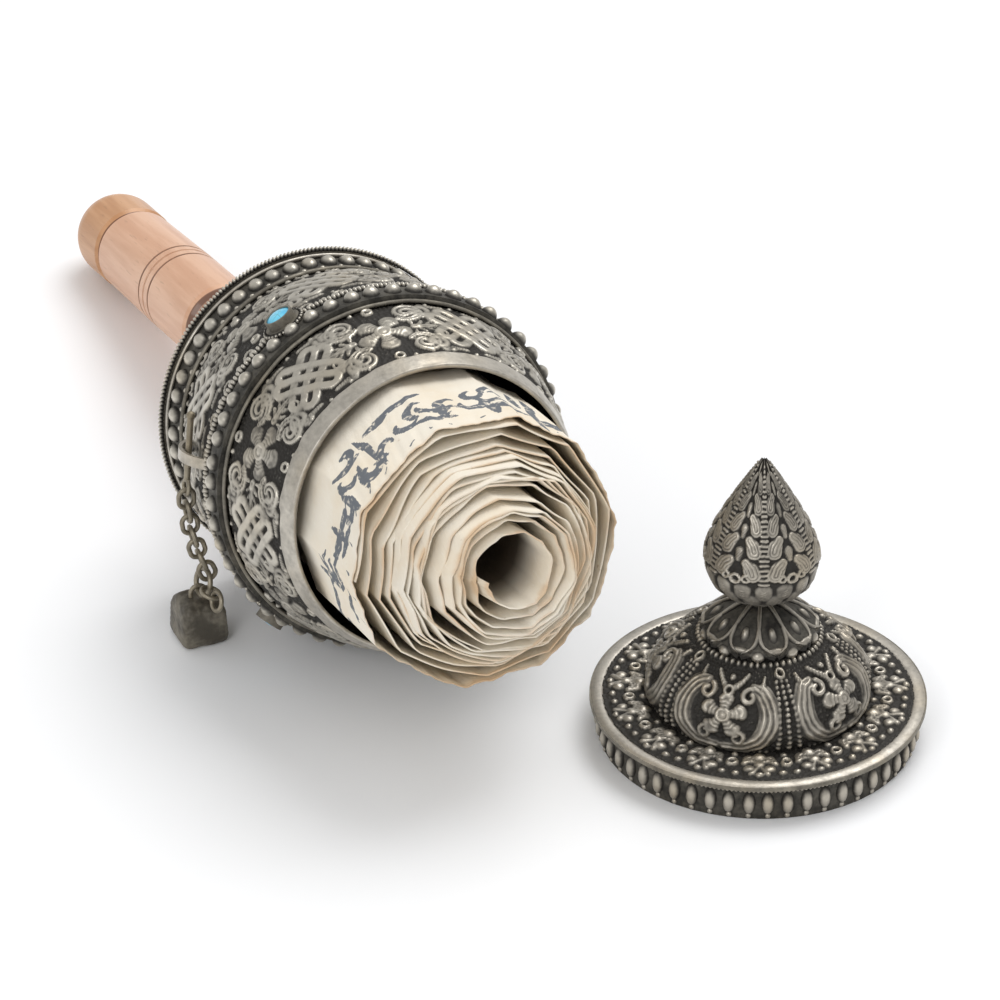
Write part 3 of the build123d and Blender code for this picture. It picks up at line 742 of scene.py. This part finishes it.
# The domed middle of the lid: five leaf cartouches with flowers, bead strings between them.
def makeDome():
    profile = smoothOutline(lidSizes["dome"])
    width = np.linalg.norm(np.diff(profile, axis=0), axis=1).sum()
    girth = 2 * math.pi * 22.0
    relief = Relief(girth, width, 0.28, 21)
    relief.pebbles(1.0, 0.42)
    top = 1.5
    for panel in range(lidSizes["panels"]):
        x = girth * panel / lidSizes["panels"]
        for hand in (-1, 1):
            corners = [(0.6, 2.0), (5.4, 2.4), (9.0, 5.6), (10.0, 10.4), (8.6, 14.8), (6.2, 16.6)]
            outline = smoothOutline([(x + hand * a, b) for a, b in corners], 40)
            wide = np.interp(np.linspace(0, 1, len(outline)), [0, 0.4, 0.8, 1], [1.3, 2.6, 2.7, 1.2])
            relief.stroke(outline, wide, top, flat=3, flutes=1.25)
            relief.stroke(spiral((x + hand * 5.3, 14.2), 2.0, 0.7, 70, 70 + hand * 330, 16), 0.8, top * 1.05)
            relief.stroke([(x + hand * 8.2, 15.6), (x + hand * 9.2, 19.2)], [1.2, 0.5], top * 0.9, ribs=0.9)
            relief.stroke(spiral((x + hand * 3.4, 4.6), 1.5, 0.6, 90, 90 - hand * 360, 14), 0.6, top * 0.9)
            relief.stroke([(x + hand * 1.2, 16.0), (x + hand * 4.6, 19.6)], [1.1, 0.7], top * 0.9, ribs=0.9)
        flower(relief, (x, 9.4), 5.4, 5, top)
        relief.ring((x, 15.2), 1.1, 0.55, top)
        relief.ball((x, 18.6), 1.1, top * 0.9)
        for step in range(-8, 9):
            relief.ball((x + step * 1.15, 0.8), 0.55, top * 0.6)
        gap = x + girth / 10
        for string in (-1, 0, 1):
            for bead in range(13):
                height = 1.8 + bead * 1.35
                relief.ball((gap + string * (2.3 - 0.05 * height), height), 0.68, top * 0.75)
        relief.ring((gap, 20.0), 1.2, 0.55, top * 0.9)
    for bead in range(lidSizes["collarBeads"]):
        relief.ball((girth * bead / lidSizes["collarBeads"], width - 2.3), 0.95, top * 0.8)
    relief.aged(0.5)
    piece = reliefShell("lid_dome_relief", relief, top, profile, lidPoint, 0.5, paint["lid"], "lid", 0.25,
                        lidSizes["front"])
    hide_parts("lid_dome")


# The bud: six laddered ribs, ribbed leaves in tiers between them, scale petals round the foot.
def makeBud():
    profile = smoothOutline(bud["outline"], 160)
    width = np.linalg.norm(np.diff(profile, axis=0), axis=1).sum()
    girth = 2 * math.pi * 11.0
    relief = Relief(girth, width, 0.26, 33, 0.04)
    relief.pebbles(0.8, 0.10)
    top = 0.85
    sector = girth / bud["ribs"]
    for part in range(bud["ribs"]):
        rib = part * sector
        relief.stroke([(rib, 12.0), (rib, width - 1.0)], [1.1, 1.4], top * 0.55, flat=6)
        for rung in np.arange(12.4, width - 1.2, 1.15):
            relief.stroke([(rib - 0.85, rung), (rib + 0.85, rung)], 0.42, top)
        centre = rib + sector / 2
        for tier, low in enumerate(bud["tiers"]):
            for hand in (-1, 1):
                bends = ((3.5, 0), (3.0, 1.4), (1.9, 2.7))
                path = [(centre + hand * out, low + rise) for out, rise in bends]
                relief.stroke(path, [2.1, 1.9, 1.3], top * (1.15 - 0.06 * tier), flat=4, flutes=0.72)
            tip = [(centre, low + 3.4), (centre, low + 5.2)]
            relief.stroke(tip, [0.9, 1.3], top * 0.9, ribs=0.8, lean=1.8)
        relief.ring((centre, 13.2), 1.0, 0.42, top * 1.2)
        for hand in (-1, 1):
            curl = spiral((centre + hand * 2.3, 13.4), 1.0, 0.4, 90, 90 + hand * 330, 12)
            relief.stroke(curl, 0.36, top * 1.2)
    for place, count, size, odd in bud["scales"]:
        half = girth / count / 2 - 0.16
        for petal in range(count):
            x = girth * (petal + 0.5 * odd) / count
            foot, tip = place - size * 0.6, place + size * 0.2
            relief.stroke([(x, foot), (x, tip)], half, top * 0.75, flat=4)
            relief.stroke([(x, foot), (x, tip - size * 0.1)], half * 0.55, top * 0.95, ribs=0.7, lean=2.5)
    relief.aged(0.3)
    piece = reliefShell("finial_bud_relief", relief, top, profile, lidPoint, 0.5, paint["lid"], "lid", 0.12,
                        lidSizes["front"] + bud["turn"])
    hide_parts("finial_bud")


makeLidRing()
makeDome()
makeBud()
print("lid relief made")


# A rounded boss: X long, Y wide, Z high, in mm; lean moves its crest towards +X. Its foot is closed.
def knob(name, long, wide, high, rings=8, around=14, lean=0.0):
    turn = np.linspace(0, 2 * math.pi, around, endpoint=False)
    rise = np.linspace(0, math.pi / 2, rings)[:-1]
    radius, height = np.cos(rise)[:, None], np.sin(rise)[:, None]
    x = long / 2 * radius * np.cos(turn) + lean * long / 2 * height
    y = wide / 2 * radius * np.sin(turn)
    z = high * height + 0 * turn
    body = np.stack([x, y, z], axis=-1).reshape(-1, 3)
    points = np.concatenate([body, [[lean * long / 2, 0, high], [0, 0, 0]]]) * mm
    faces = gridFaces(rings - 1, around).tolist()
    last = (rings - 2) * around
    faces += [[last + k, last + (k + 1) % around, len(body)] for k in range(around)]
    faces += [[(k + 1) % around, k, len(body) + 1] for k in range(around)]
    mesh = bpy.data.meshes.new(name)
    mesh.from_pydata(points.tolist(), [], faces)
    level = 0.95 * np.clip(points[:, 2] / (high * mm), 0, 1) ** 2.0
    store = mesh.attributes.new("relief", "FLOAT", "POINT")
    store.data.foreach_set("value", level.astype(np.float32))
    mesh.shade_smooth()
    return bpy.data.objects.new(name, mesh)


# Copies a shape round a circle about +X: each copy's X lies along the axis, its Z outwards.
def ringTree():
    tree = bpy.data.node_groups.new("shapesRoundARing", "GeometryNodeTree")
    tree.interface.new_socket("Geometry", in_out="OUTPUT", socket_type="NodeSocketGeometry")
    inputs = {"Shape": "Object", "Count": "Int", "Radius": "Float", "Start": "Float", "Wander": "Float",
              "Seed": "Int", "Finish": "Material"}
    for label, kind in inputs.items():
        tree.interface.new_socket(label, in_out="INPUT", socket_type="NodeSocket" + kind)

    def add(kind, values=None, **settings):
        made = tree.nodes.new(kind)
        for key, setting in settings.items():
            setattr(made, key, setting)
        for key, value in (values or {}).items():
            if isinstance(value, bpy.types.NodeSocket):
                tree.links.new(value, made.inputs[key])
            else:
                made.inputs[key].default_value = value
        return made

    def maths(operation, first, second=0.0):
        return add("ShaderNodeMath", {0: first, 1: second}, operation=operation).outputs[0]

    given = add("NodeGroupInput").outputs
    line = add("GeometryNodeMeshLine", {"Count": given["Count"], "Offset": (0, 0, 0)}, mode="OFFSET")
    limits = {"Seed": given["Seed"], "Min": -1.0, "Max": 1.0}
    random = add("FunctionNodeRandomValue", limits, data_type="FLOAT")
    share = maths("DIVIDE", add("GeometryNodeInputIndex").outputs[0], given["Count"])
    begin = maths("ADD", maths("MULTIPLY", share, 2 * math.pi), given["Start"])
    angle = maths("ADD", begin, maths("MULTIPLY", random.outputs["Value"], given["Wander"]))
    across = maths("MULTIPLY", maths("SINE", angle), given["Radius"])
    up = maths("MULTIPLY", maths("COSINE", angle), given["Radius"])
    place = add("ShaderNodeCombineXYZ", {"Y": across, "Z": up}).outputs[0]
    spin = add("ShaderNodeCombineXYZ", {"X": maths("MULTIPLY", angle, -1.0)}).outputs[0]
    moved = add("GeometryNodeSetPosition", {"Geometry": line.outputs[0], "Position": place}).outputs[0]
    shape = add("GeometryNodeObjectInfo", {"Object": given["Shape"]}).outputs["Geometry"]
    copies = add("GeometryNodeInstanceOnPoints", {"Points": moved, "Instance": shape, "Rotation": spin})
    real = add("GeometryNodeRealizeInstances", {0: copies.outputs[0]}).outputs[0]
    painted = add("GeometryNodeSetMaterial", {"Geometry": real, "Material": given["Finish"]}).outputs[0]
    add("NodeGroupOutput", {0: painted})
    return tree


shapesRoundARing = ringTree()


# Bakes a ring of knobs into one plain mesh in its place. toFrame takes the ring's own frame there.
def ringOf(name, row, toFrame, body, material):
    carrier = bpy.data.objects.new(name + "Carrier", bpy.data.meshes.new(name + "Carrier"))
    bpy.context.scene.collection.objects.link(carrier)
    nodes = carrier.modifiers.new("ring", "NODES")
    nodes.node_group = shapesRoundARing
    wanted = {
        "Shape": knob(name + "Shape", *row["knob"]), "Count": row["count"], "Radius": row["radius"] * mm,
        "Start": row.get("start", 0.0), "Wander": row.get("wander", 0.0), "Seed": row.get("seed", 1),
        "Finish": material,
    }
    for item in shapesRoundARing.interface.items_tree:
        if item.in_out == "INPUT":
            nodes[item.identifier] = wanted[item.name]
    bpy.context.view_layer.update()
    evaluated = carrier.evaluated_get(bpy.context.evaluated_depsgraph_get())
    mesh = bpy.data.meshes.new_from_object(evaluated)
    carrier.modifiers.remove(nodes)
    bpy.data.objects.remove(carrier)
    mesh.transform(toFrame)
    mesh.shade_smooth()
    mesh.name = name
    piece = bpy.data.objects.new(name, mesh)
    bpy.context.scene.collection.objects.link(piece)
    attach(piece, body)
    if "replaces" in row:
        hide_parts(row["replaces"])
    return piece


# The frame of a ring round the wheel's axis at a place: its own X along the axis.
def wheelFrame(axial):
    place = rimCentre + mm * axial * wheelAxis
    columns = np.stack([wheelAxis, [0, -1, 0], -wheelUp, place], axis=1)
    return Matrix([*columns.tolist(), [0, 0, 0, 1]])


# The frame of a ring round the lid's axis: its own X points up.
def lidFrame(height):
    place = lidCentre + np.array([0, 0, height * mm])
    columns = np.stack([[0, 0, 1], [0, 1, 0], [-1, 0, 0], place], axis=1)
    return Matrix([*columns.tolist(), [0, 0, 0, 1]])


# Each row's knob is its length along the axis, width, height, rings, sides and the lean of its crest.
wireKnob, dotKnob = (1.9, 1.12, 1.1, 5, 10), (1.7, 1.7, 0.9, 5, 10)
drumRows = {
    "skirt_bumps": {"knob": (6.2, 4.3, 2.5, 9, 16, 0.15), "count": 50, "radius": 37.5, "place": 5.3,
                    "wander": 0.006, "seed": 4},
    "skirt_dots": {"knob": dotKnob, "count": 50, "radius": 37.7, "place": 8.7, "start": 0.06},
    "rim_milled_wire": {"knob": wireKnob, "count": 246, "radius": 39.6, "place": 0.0,
                        "replaces": "base_rim_wire"},
    "waist_milled_wire": {"knob": (2.6, 1.3, 1.4, 6, 10), "count": 250, "radius": 43.2, "place": 44.0,
                          "replaces": "waist_wire"},
    "waist_beads": {"knob": (4.5, 4.5, 2.7, 9, 16), "count": 52, "radius": 43.2, "place": 49.3,
                    "wander": 0.008, "seed": 8},
}
lidRows = {
    "lid_skirt_bumps": {"knob": (6.2, 3.2, 1.75, 8, 14, -0.2), "count": 52, "radius": 37.2, "place": 4.6,
                        "wander": 0.004, "seed": 6},
    "lid_skirt_dots": {"knob": dotKnob, "count": 52, "radius": 37.3, "place": 0.95},
    "lid_milled_wire": {"knob": wireKnob, "count": 236, "radius": 37.9, "place": 8.6,
                        "replaces": "lid_rim_wire"},
    "collar_balls": {"knob": (3.4, 3.6, 1.9, 7, 12), "count": 10, "radius": 12.6, "place": 29.0,
                     "start": math.pi / 10 - lidSizes["front"]},
}
stoneBeads = {
    "angles": (62, 187, 312), "place": 44.2, "height": 44.4, "long": 3.9, "wide": 4.75,
    "knob": (1.3, 1.0, 0.75, 5, 8), "count": 30, "radius": 4.2,
}


# The frame of a ring on the drum about a stone: its X outwards, stretched to the bezel's oval.
def stoneFrame(angle):
    across = np.array([0, 1, 0])
    outward = -math.cos(angle) * across + math.sin(angle) * wheelUp
    girth = math.sin(angle) * across + math.cos(angle) * wheelUp
    place = rimCentre + mm * (stoneBeads["place"] * wheelAxis + stoneBeads["height"] * outward)
    alongAxis = wheelAxis * stoneBeads["long"] / stoneBeads["radius"]
    alongGirth = girth * stoneBeads["wide"] / stoneBeads["radius"]
    columns = np.stack([outward, alongAxis, alongGirth, place], axis=1)
    return Matrix([*columns.tolist(), [0, 0, 0, 1]])


for number, angle in enumerate(stoneBeads["angles"]):
    ringOf(f"stone_beads_{number + 1}", stoneBeads, stoneFrame(math.radians(angle)), "drum", paint["relief"])
for name, row in drumRows.items():
    ringOf(name, row, wheelFrame(row["place"]), "drum", paint["relief"])
for name, row in lidRows.items():
    ringOf(name, row, lidFrame(row["place"]), "lid", paint["lid"])
print("rows of beads and wires made")


# A closed ring turned from a closed outline of places and radii, a little uneven round its girth.
def turnedRing(name, ring, toPoint, body):
    outline = np.asarray(ring["outline"], float)
    angle = np.linspace(0, 2 * math.pi, 200, endpoint=False)
    drift = ring.get("wobble", 0.0) * waves(angle, (0.5, 9, 0.7), (0.3, 23, 2.0), (0.2, 53, 0))
    points = toPoint(outline[:, None, 0] + drift, outline[:, None, 1] + 0 * angle, angle).reshape(-1, 3)
    faces = turnedOutwards(points, loopedFaces(len(outline), len(angle)))
    piece = addPiece(name, points, faces, paint[ring["finish"]], body)
    if "replaces" in ring:
        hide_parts(ring["replaces"])


def roundOutline(place, radius, wire, count=12):
    turn = np.linspace(0, 2 * math.pi, count, endpoint=False)
    return np.stack([place + wire / 2 * np.cos(turn), radius + wire / 2 * np.sin(turn)], axis=1)


drumRings = {
    "rim_smooth_wire": {"outline": roundOutline(1.5, 38.9, 0.9), "finish": "worn",
                        "replaces": "base_rim_band"},
    "waist_wire_seat": {"finish": "dark", "outline": [(42.2, 41.8), (42.2, 42.6), (42.7, 43.0), (45.6, 43.1),
                                                      (46.6, 42.9), (46.6, 41.8)]},
    "waist_smooth_wire": {"outline": roundOutline(45.5, 43.2, 0.9), "finish": "dull", "wobble": 0.12},
    "front_smooth_wire": {"outline": roundOutline(53.2, 42.6, 1.0), "finish": "dull", "wobble": 0.25,
                          "replaces": "waist_line_wire"},
    "rear_smooth_wire": {"outline": roundOutline(9.9, 38.1, 1.1), "finish": "dull", "wobble": 0.15},
}
lidRim = {
    "outline": [(9.4, 36.6), (10.25, 36.8), (10.4, 37.3), (10.3, 39.5), (9.7, 39.9), (9.2, 39.4),
                (9.2, 36.6)],
    "finish": "worn", "wobble": 0.05, "slot": "worn_silver",
}
for name, ring in drumRings.items():
    turnedRing(name, ring, wheelPoint, "drum")
turnedRing("lid_plain_rim", lidRim, lidPoint, "lid")
print("smooth wires made")


lotus = {
    "petals": 10, "high": 36.2, "low": 29.0, "root": 3.2, "spread": 14.2, "wide": 3.9, "thick": 0.7,
    "rim": 1.3, "boss": 1.9, "hollow": 0.9,
}


# Drooping petals round the finial's foot, each with a raised rim and a teardrop boss.
def makeLotus():
    rows, columns = 22, 19
    along, side = np.meshgrid(np.linspace(0, 1, rows), np.linspace(-1, 1, columns), indexing="ij")
    reach = lotus["root"] + (lotus["spread"] - lotus["root"]) * along**0.9
    tip = np.sqrt(np.clip(1 - np.clip((along - 0.62) / 0.38, 0, 1) ** 2.2, 0.02, 1))
    width = lotus["wide"] * (0.22 + 0.78 * np.sin(math.pi * (0.08 + 0.52 * along))) * tip
    height = lotus["high"] - (lotus["high"] - lotus["low"] - 1.0) * along**1.25 - 0.9 * side**2 * along
    sideRim, tipRim = ((np.abs(side) - 0.82) / 0.17) ** 2, ((along - 0.93) / 0.07) ** 2
    rimness = np.maximum(np.exp(-sideRim), np.exp(-tipRim))
    boss = np.exp(-((side / 0.30) ** 2) - ((along - 0.62) / 0.17) ** 2)
    lift = lotus["rim"] * rimness + lotus["boss"] * boss - lotus["hollow"] * (1 - side**2) * along
    points, faces, level = [], [], []
    for petal in range(lotus["petals"]):
        turn = lidSizes["front"] + 2 * math.pi * petal / lotus["petals"]
        top = np.stack([reach, side * width, height + lift], axis=-1)
        bottom = np.stack([reach, side * width * 0.97, height - lotus["thick"]], axis=-1)
        sheet = np.concatenate([top.reshape(-1, 3), bottom.reshape(-1, 3)])
        cosine, sine = math.cos(turn), math.sin(turn)
        x, y, z = sheet.T
        spun = np.stack([x * cosine - y * sine, x * sine + y * cosine, z], axis=1)
        start = petal * 2 * rows * columns
        upper = gridFaces(rows, columns, start, False)[:, ::-1]
        lower = gridFaces(rows, columns, start + rows * columns, False)
        edge = [(r, 0) for r in range(rows)] + [(rows - 1, c) for c in range(1, columns)]
        edge += [(r, columns - 1) for r in range(rows - 2, -1, -1)]
        edge += [(0, c) for c in range(columns - 2, 0, -1)]
        loop = np.array([start + r * columns + c for r, c in edge])
        following, below = np.roll(loop, -1), rows * columns
        sides = np.stack([loop, following, following + below, loop + below], axis=1)
        points.append(lidCentre + mm * spun)
        faces.append(np.concatenate([upper, lower, sides]))
        polish = np.clip(0.70 * rimness**2 + 0.8 * boss**2, 0, 1).reshape(-1)
        level.append(np.concatenate([polish, 0 * polish]))
    points, values = np.concatenate(points), {"relief": np.concatenate(level)}
    faces = turnedOutwards(points, np.concatenate(faces))
    piece = addPiece("lotus_petals", points, faces, paint["lid"], "lid", values)


makeLotus()
print("lotus collar made")


scroll = {
    "start": 41.0, "end": 113.0, "nose": 127.0, "furthest": 128.2, "outer": 32.9, "core": 8.0,
    "turns": 15, "perTurn": 96, "thick": 0.34, "creases": 10, "seed": 5,
    "depths": [0, 0.5, 1.2, 2.2, 3.6, 5.4, 8, 11, 15, 20, 27, 36, 48, 60, 200],  # rows behind the front edge
}


# How flat facets pull the paper in between its creases, which drift from turn to turn.
def foldedRadius(angle, turnIndex):
    phase = 0.16 * np.sin(turnIndex * 0.9) + turnIndex * 0.045
    sector = 2 * math.pi / scroll["creases"]
    local = (angle + phase + 0.10 * np.sin(3 * angle)) % sector - sector / 2
    return (math.cos(sector / 2) / np.cos(local)) * 0.9 + 0.1


# One strip wound inwards, its turns drawn further out the nearer they lie to the core.
def makeScroll():
    random = np.random.default_rng(scroll["seed"])
    turns = scroll["turns"]
    count = turns * scroll["perTurn"]
    travel = np.linspace(0, turns, count)
    angle = 2 * math.pi * travel
    share = travel / turns
    gaps = np.concatenate([[0], np.cumsum(random.uniform(0.25, 1.15, turns) ** 1.5)])
    gap = np.interp(travel, np.arange(turns + 1), gaps)
    gap = gap / gap[-1]
    radius = scroll["outer"] - 0.35 - (scroll["outer"] - 0.35 - scroll["core"]) * gap
    facet = foldedRadius(angle, travel)
    knots = random.normal(0, 1, (turns + 2, 13))
    ripple = np.zeros(count)
    for harmonic in range(1, 7):
        size = np.interp(travel, np.arange(turns + 2), knots[:, harmonic]) * 0.16
        ripple += size * np.sin(harmonic * angle + knots[0, harmonic + 6] * 3)
    drawn = np.clip((share - 0.10) / 0.75, 0, 1) ** 0.85
    end = scroll["end"] + (scroll["nose"] - scroll["end"]) * drawn
    steps = np.interp(travel, np.arange(turns + 2), random.normal(0, 1.3, turns + 2))
    end = end + steps * np.clip(share * 4, 0, 1) + waves(angle, (0.40, 3, 1), (0.18, 11, travel))
    end = np.minimum(end, scroll["furthest"])
    depth = np.array(scroll["depths"])[:, None]
    rows = len(depth)
    place = np.maximum(end - depth, scroll["start"])
    flare = np.exp(-depth / 3.0)
    wave = waves(angle, (0.05, 17, travel * 2.0), (0.20, 5, travel * 1.3)) * flare
    bulge = ripple * (0.35 + 0.65 * flare) + wave * np.clip(share * 5, 0.2, 1)
    paperRadius = np.minimum(radius * facet + bulge, scroll["outer"] + 0.1)
    middleShift = np.clip(share * 1.2, 0, 1) * flare
    shift = middleShift[..., None] * (2.3 * np.array([0, 1, 0]) - 1.2 * wheelUp)  # the core sags aside
    layers = [wheelPoint(place, paperRadius - inset, angle) + mm * shift for inset in (0.0, scroll["thick"])]
    points = np.concatenate([layers[0], layers[1][::-1]]).reshape(-1, 3)
    row = np.arange(rows - 1)
    corners = (row, row + 1, 2 * rows - 2 - row, 2 * rows - 1 - row)
    capStart = np.stack(corners, axis=1) * count
    capEnd = capStart[:, ::-1] + count - 1
    faces = np.concatenate([loopedFaces(2 * rows, count, False), capStart, capEnd])
    faces = turnedOutwards(points, faces)
    edge = np.exp(-depth / 1.4) * (0.75 + 0.25 * np.sin(angle * 3 + travel)) + 0 * place
    edge = np.clip(edge + 0.22 * (np.sin(angle * 2.3 + travel * 5) > 0.86) * flare, 0, 1)
    both = np.concatenate([edge, edge[::-1]]).reshape(-1)
    # Painted shade: the innermost turns, more than 3 mm behind their front edges, darken towards the deep
    # colour. The face towards the core darkens fully and the outer face by a quarter, so the core's hole
    # looks shaded.
    deep = np.clip((travel - turns + 1.6) / 0.6, 0, 1) * np.clip((depth - 3.0) / 11.0, 0, 1)
    coreShade = np.concatenate([0.25 * deep, deep[::-1]]).reshape(-1)
    values = {"edge": both, "ink": 0 * both, "deep": coreShade}
    piece = addPiece("paper_turns", points, faces, paint["paper"], "scroll", values)
    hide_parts("paper_scroll")


cover = {"start": 74.0, "thick": 0.25, "clusters": 15, "dabs": 30, "brush": 0.40}


# Clusters of loose brush strokes in a row round the paper: hooks, bars and dabs, no letters.
def brushMarks(relief):
    random = relief.random
    for index in range(cover["clusters"]):
        x0 = relief.girth * index / cover["clusters"]
        for _ in range(random.integers(6, 9)):
            x, y = x0 + random.uniform(1, 11.5), random.uniform(14, 32)
            kind = random.integers(0, 3)
            if kind == 0:
                start = random.uniform(0, 360)
                outer, inner = random.uniform(2.0, 4.2), random.uniform(1.6, 3.4)
                path = spiral((x, y), outer, inner, start, start + random.uniform(150, 280), 18)
            elif kind == 1:
                lean = random.uniform(-2.6, 2.6)
                foot = y - random.uniform(3, 7)
                path = smoothOutline([(x, y + 5.5), (x + lean * 0.3, y + 1), (x + lean, foot)], 14)
            else:
                left, right = y + random.uniform(-1.5, 1.5), y + random.uniform(-1.5, 1.5)
                path = smoothOutline([(x - 4, left), (x, y + 0.8), (x + 4.4, right)], 14)
            share = np.linspace(0, 1, len(path))
            belly = np.sin(math.pi * np.clip(share * 0.9 + 0.08, 0, 1))
            relief.stroke(path, cover["brush"] + random.uniform(0.7, 1.2) * belly, 1.0, flat=10)
    for index in range(cover["dabs"]):
        x = relief.girth * (index + random.uniform(-0.3, 0.3)) / cover["dabs"]
        tip = (x + random.uniform(-1, 2), 36.0 - random.uniform(0.5, 2))
        relief.stroke([(x, 36.0), tip], [0.45, 0.2], 0.8)


# The outermost turn, dense enough for its ink, a little crinkled, with a ragged front edge.
def makeCover():
    start, end = cover["start"], scroll["end"]
    girth = 2 * math.pi * scroll["outer"]
    relief = Relief(girth, end - start, 0.40, 14)
    brushMarks(relief)
    angle = 2 * math.pi * relief.u / girth
    share = relief.v[:, None] / relief.v[-1]
    edge = end - 0.5 + waves(angle, (0.5, 9, 1), (0.35, 23, 0))
    place = start + share * (edge - start)
    facet = foldedRadius(angle, 0)
    crinkle = waves(angle, (0.10, 31, 6 * share), (0.10, 13, -9 * share), (0.05, 71, 17 * share))
    radius = (scroll["outer"] + 0.2) * facet + crinkle * (0.4 + share)
    outer = wheelPoint(place, radius, angle)
    inner = wheelPoint(place[::8], radius[::8] - cover["thick"], angle)
    points, faces = closedShell(outer, inner)
    edgeness = np.exp(-(1 - share) * (end - start) / 2.2) + 0 * place
    innerEdge = edgeness[::8][::-1].reshape(-1)
    ink = np.clip(relief.height, 0, 1)
    values = {"edge": np.concatenate([edgeness.reshape(-1), innerEdge]),
              "ink": np.concatenate([ink.reshape(-1), np.zeros(innerEdge.size)])}
    piece = addPiece("paper_cover", points, faces, paint["paper"], "scroll", values)


makeScroll()
makeCover()
print("paper made")


weight = {"cuts": 23, "squareness": 7.0, "taper": 0.09, "shoulder": 0.26, "fit": 0.985}


# The cast weight: a block with worn shoulders and pitted faces.
def makeWeight():
    low, high = (np.array(corner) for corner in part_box("chain_weight"))
    mesh = bpy.data.meshes.new("chain_weight_block")
    shape = bmesh.new()
    bmesh.ops.create_cube(shape, size=1.0)
    bmesh.ops.subdivide_edges(shape, edges=shape.edges[:], cuts=weight["cuts"], use_grid_fill=True)
    middle, size = (low + high) / 2, high - low
    for vertex in shape.verts:
        place = np.array(vertex.co) * 2
        place = place / np.sum(np.abs(place) ** weight["squareness"]) ** (1 / weight["squareness"])
        x, y, z = place
        taper = 1 - weight["taper"] * (z + 1) / 2 - weight["shoulder"] * max(0.0, z - 0.42) ** 1.3
        pit = 0.012 * math.sin(9 * x + 4 * z) * math.sin(7 * y - 3) + 0.008 * math.sin(23 * z + 11 * x)
        place = place * np.array([taper, taper, 1]) * (1 + pit)
        place[2] = max(place[2], -1)
        vertex.co = middle + place * size / 2 * weight["fit"]
    lowest = min(vertex.co.z for vertex in shape.verts)
    for vertex in shape.verts:
        vertex.co.z += low[2] - lowest
    shape.to_mesh(mesh)
    shape.free()
    mesh.shade_smooth()
    mesh.materials.append(paint["weight"])
    piece = bpy.data.objects.new("chain_weight_block", mesh)
    bpy.context.scene.collection.objects.link(piece)
    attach(piece, "weight")
    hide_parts("chain_weight")


makeWeight()

finishes = {
    "grip": ["handle_grip"], "pommel": ["handle_pommel"], "copper": ["neck_sleeve", "base_boss"],
    "bone": ["bone_bearing"],
    "brass": ["neck_collar", "thrust_washer", "spindle_collar", "base_bush", "spindle_socket",
              "finial_stem"],
    "iron": ["spindle"], "stone": ["turquoise_stones"], "worn": ["chain_lug"],
    "chain": ["chain_pin", "weight_ring", "spare_rings", "weight_eye",
              *[f"chain_link_{k}" for k in range(1, 8)]],
    "dull": ["base_plate", "finial_neck", "stone_bezels", "lid_plate"],
    "dark": ["base_skirt", "waist_bead_band", "lid_skirt", "lotus_collar"],
}
for finish, names in finishes.items():
    for name in names:
        node = frame["nodes"][name]
        for slot in node.material_slots:
            slot.material = paint[finish]
print("plain nodes painted")


studio = {
    "floor": (0.92, 0.925, 0.935), "reach": 4.0, "world": 0.66, "aim": (0.03, -0.01, 0.03),
    "keyLight": ((-0.35, 0.85, 2.0), 1.5, 27.0),  # place, width, power
    "fillLight": ((1.1, -1.1, 1.0), 0.6, 6.0),
}
view = {
    "from": (1.1905, -0.4428, 0.7979), "right": (0.3821, 0.9241, 0), "forward": (-0.7858, 0.3249, -0.5263),
    "lens": 216, "sensor": 36,
}


def makeStudio():
    floorMesh = bpy.data.meshes.new("floor")
    reach = studio["reach"]
    corners = [(x * reach, y * reach, 0) for x, y in ((-1, -1), (1, -1), (1, 1), (-1, 1))]
    floorMesh.from_pydata(corners, [], [(0, 1, 2, 3)])
    shader = Shader("paleFloor")
    haze = shader.noise(2.0, 2.0)
    colour = shader.mix(haze, studio["floor"], tuple(value * 1.01 for value in studio["floor"]))
    floorMesh.materials.append(shader.finish(Base_Color=colour, Roughness=0.9, Specular_IOR_Level=0.1))
    floor = bpy.data.objects.new("floor", floorMesh)
    bpy.context.scene.collection.objects.link(floor)
    world = bpy.data.worlds.new("studioWorld")
    world.use_nodes = True
    background = world.node_tree.nodes["Background"]
    background.inputs["Color"].default_value = (1, 1, 1, 1)
    background.inputs["Strength"].default_value = studio["world"]
    bpy.context.scene.world = world
    for name in ("keyLight", "fillLight"):
        place, size, power = studio[name]
        lamp = bpy.data.lights.new(name, "AREA")
        lamp.size = size
        lamp.energy = power
        made = bpy.data.objects.new(name, lamp)
        made.location = place
        aim = Vector(studio["aim"]) - Vector(place)
        made.rotation_euler = aim.to_track_quat("-Z", "Y").to_euler()
        bpy.context.scene.collection.objects.link(made)


# Long lens from the mouth's side, above the table.
def makeCamera():
    base = Vector((rimCentre[0], rimCentre[1], 0))
    right = Vector(view["right"])
    forward = Vector(view["forward"]).normalized()
    right = (right - forward * right.dot(forward)).normalized()
    up = right.cross(forward)
    lens = bpy.data.cameras.new("camera")
    lens.sensor_width = view["sensor"]
    lens.lens = view["lens"]
    lens.clip_end = 20
    camera = bpy.data.objects.new("camera", lens)
    placed = Matrix((right, up, -forward)).transposed().to_4x4()
    placed.translation = base + Vector(view["from"])
    camera.matrix_world = placed
    bpy.context.scene.collection.objects.link(camera)
    bpy.context.scene.camera = camera


makeStudio()
makeCamera()
bpy.context.scene.view_settings.view_transform = "Standard"
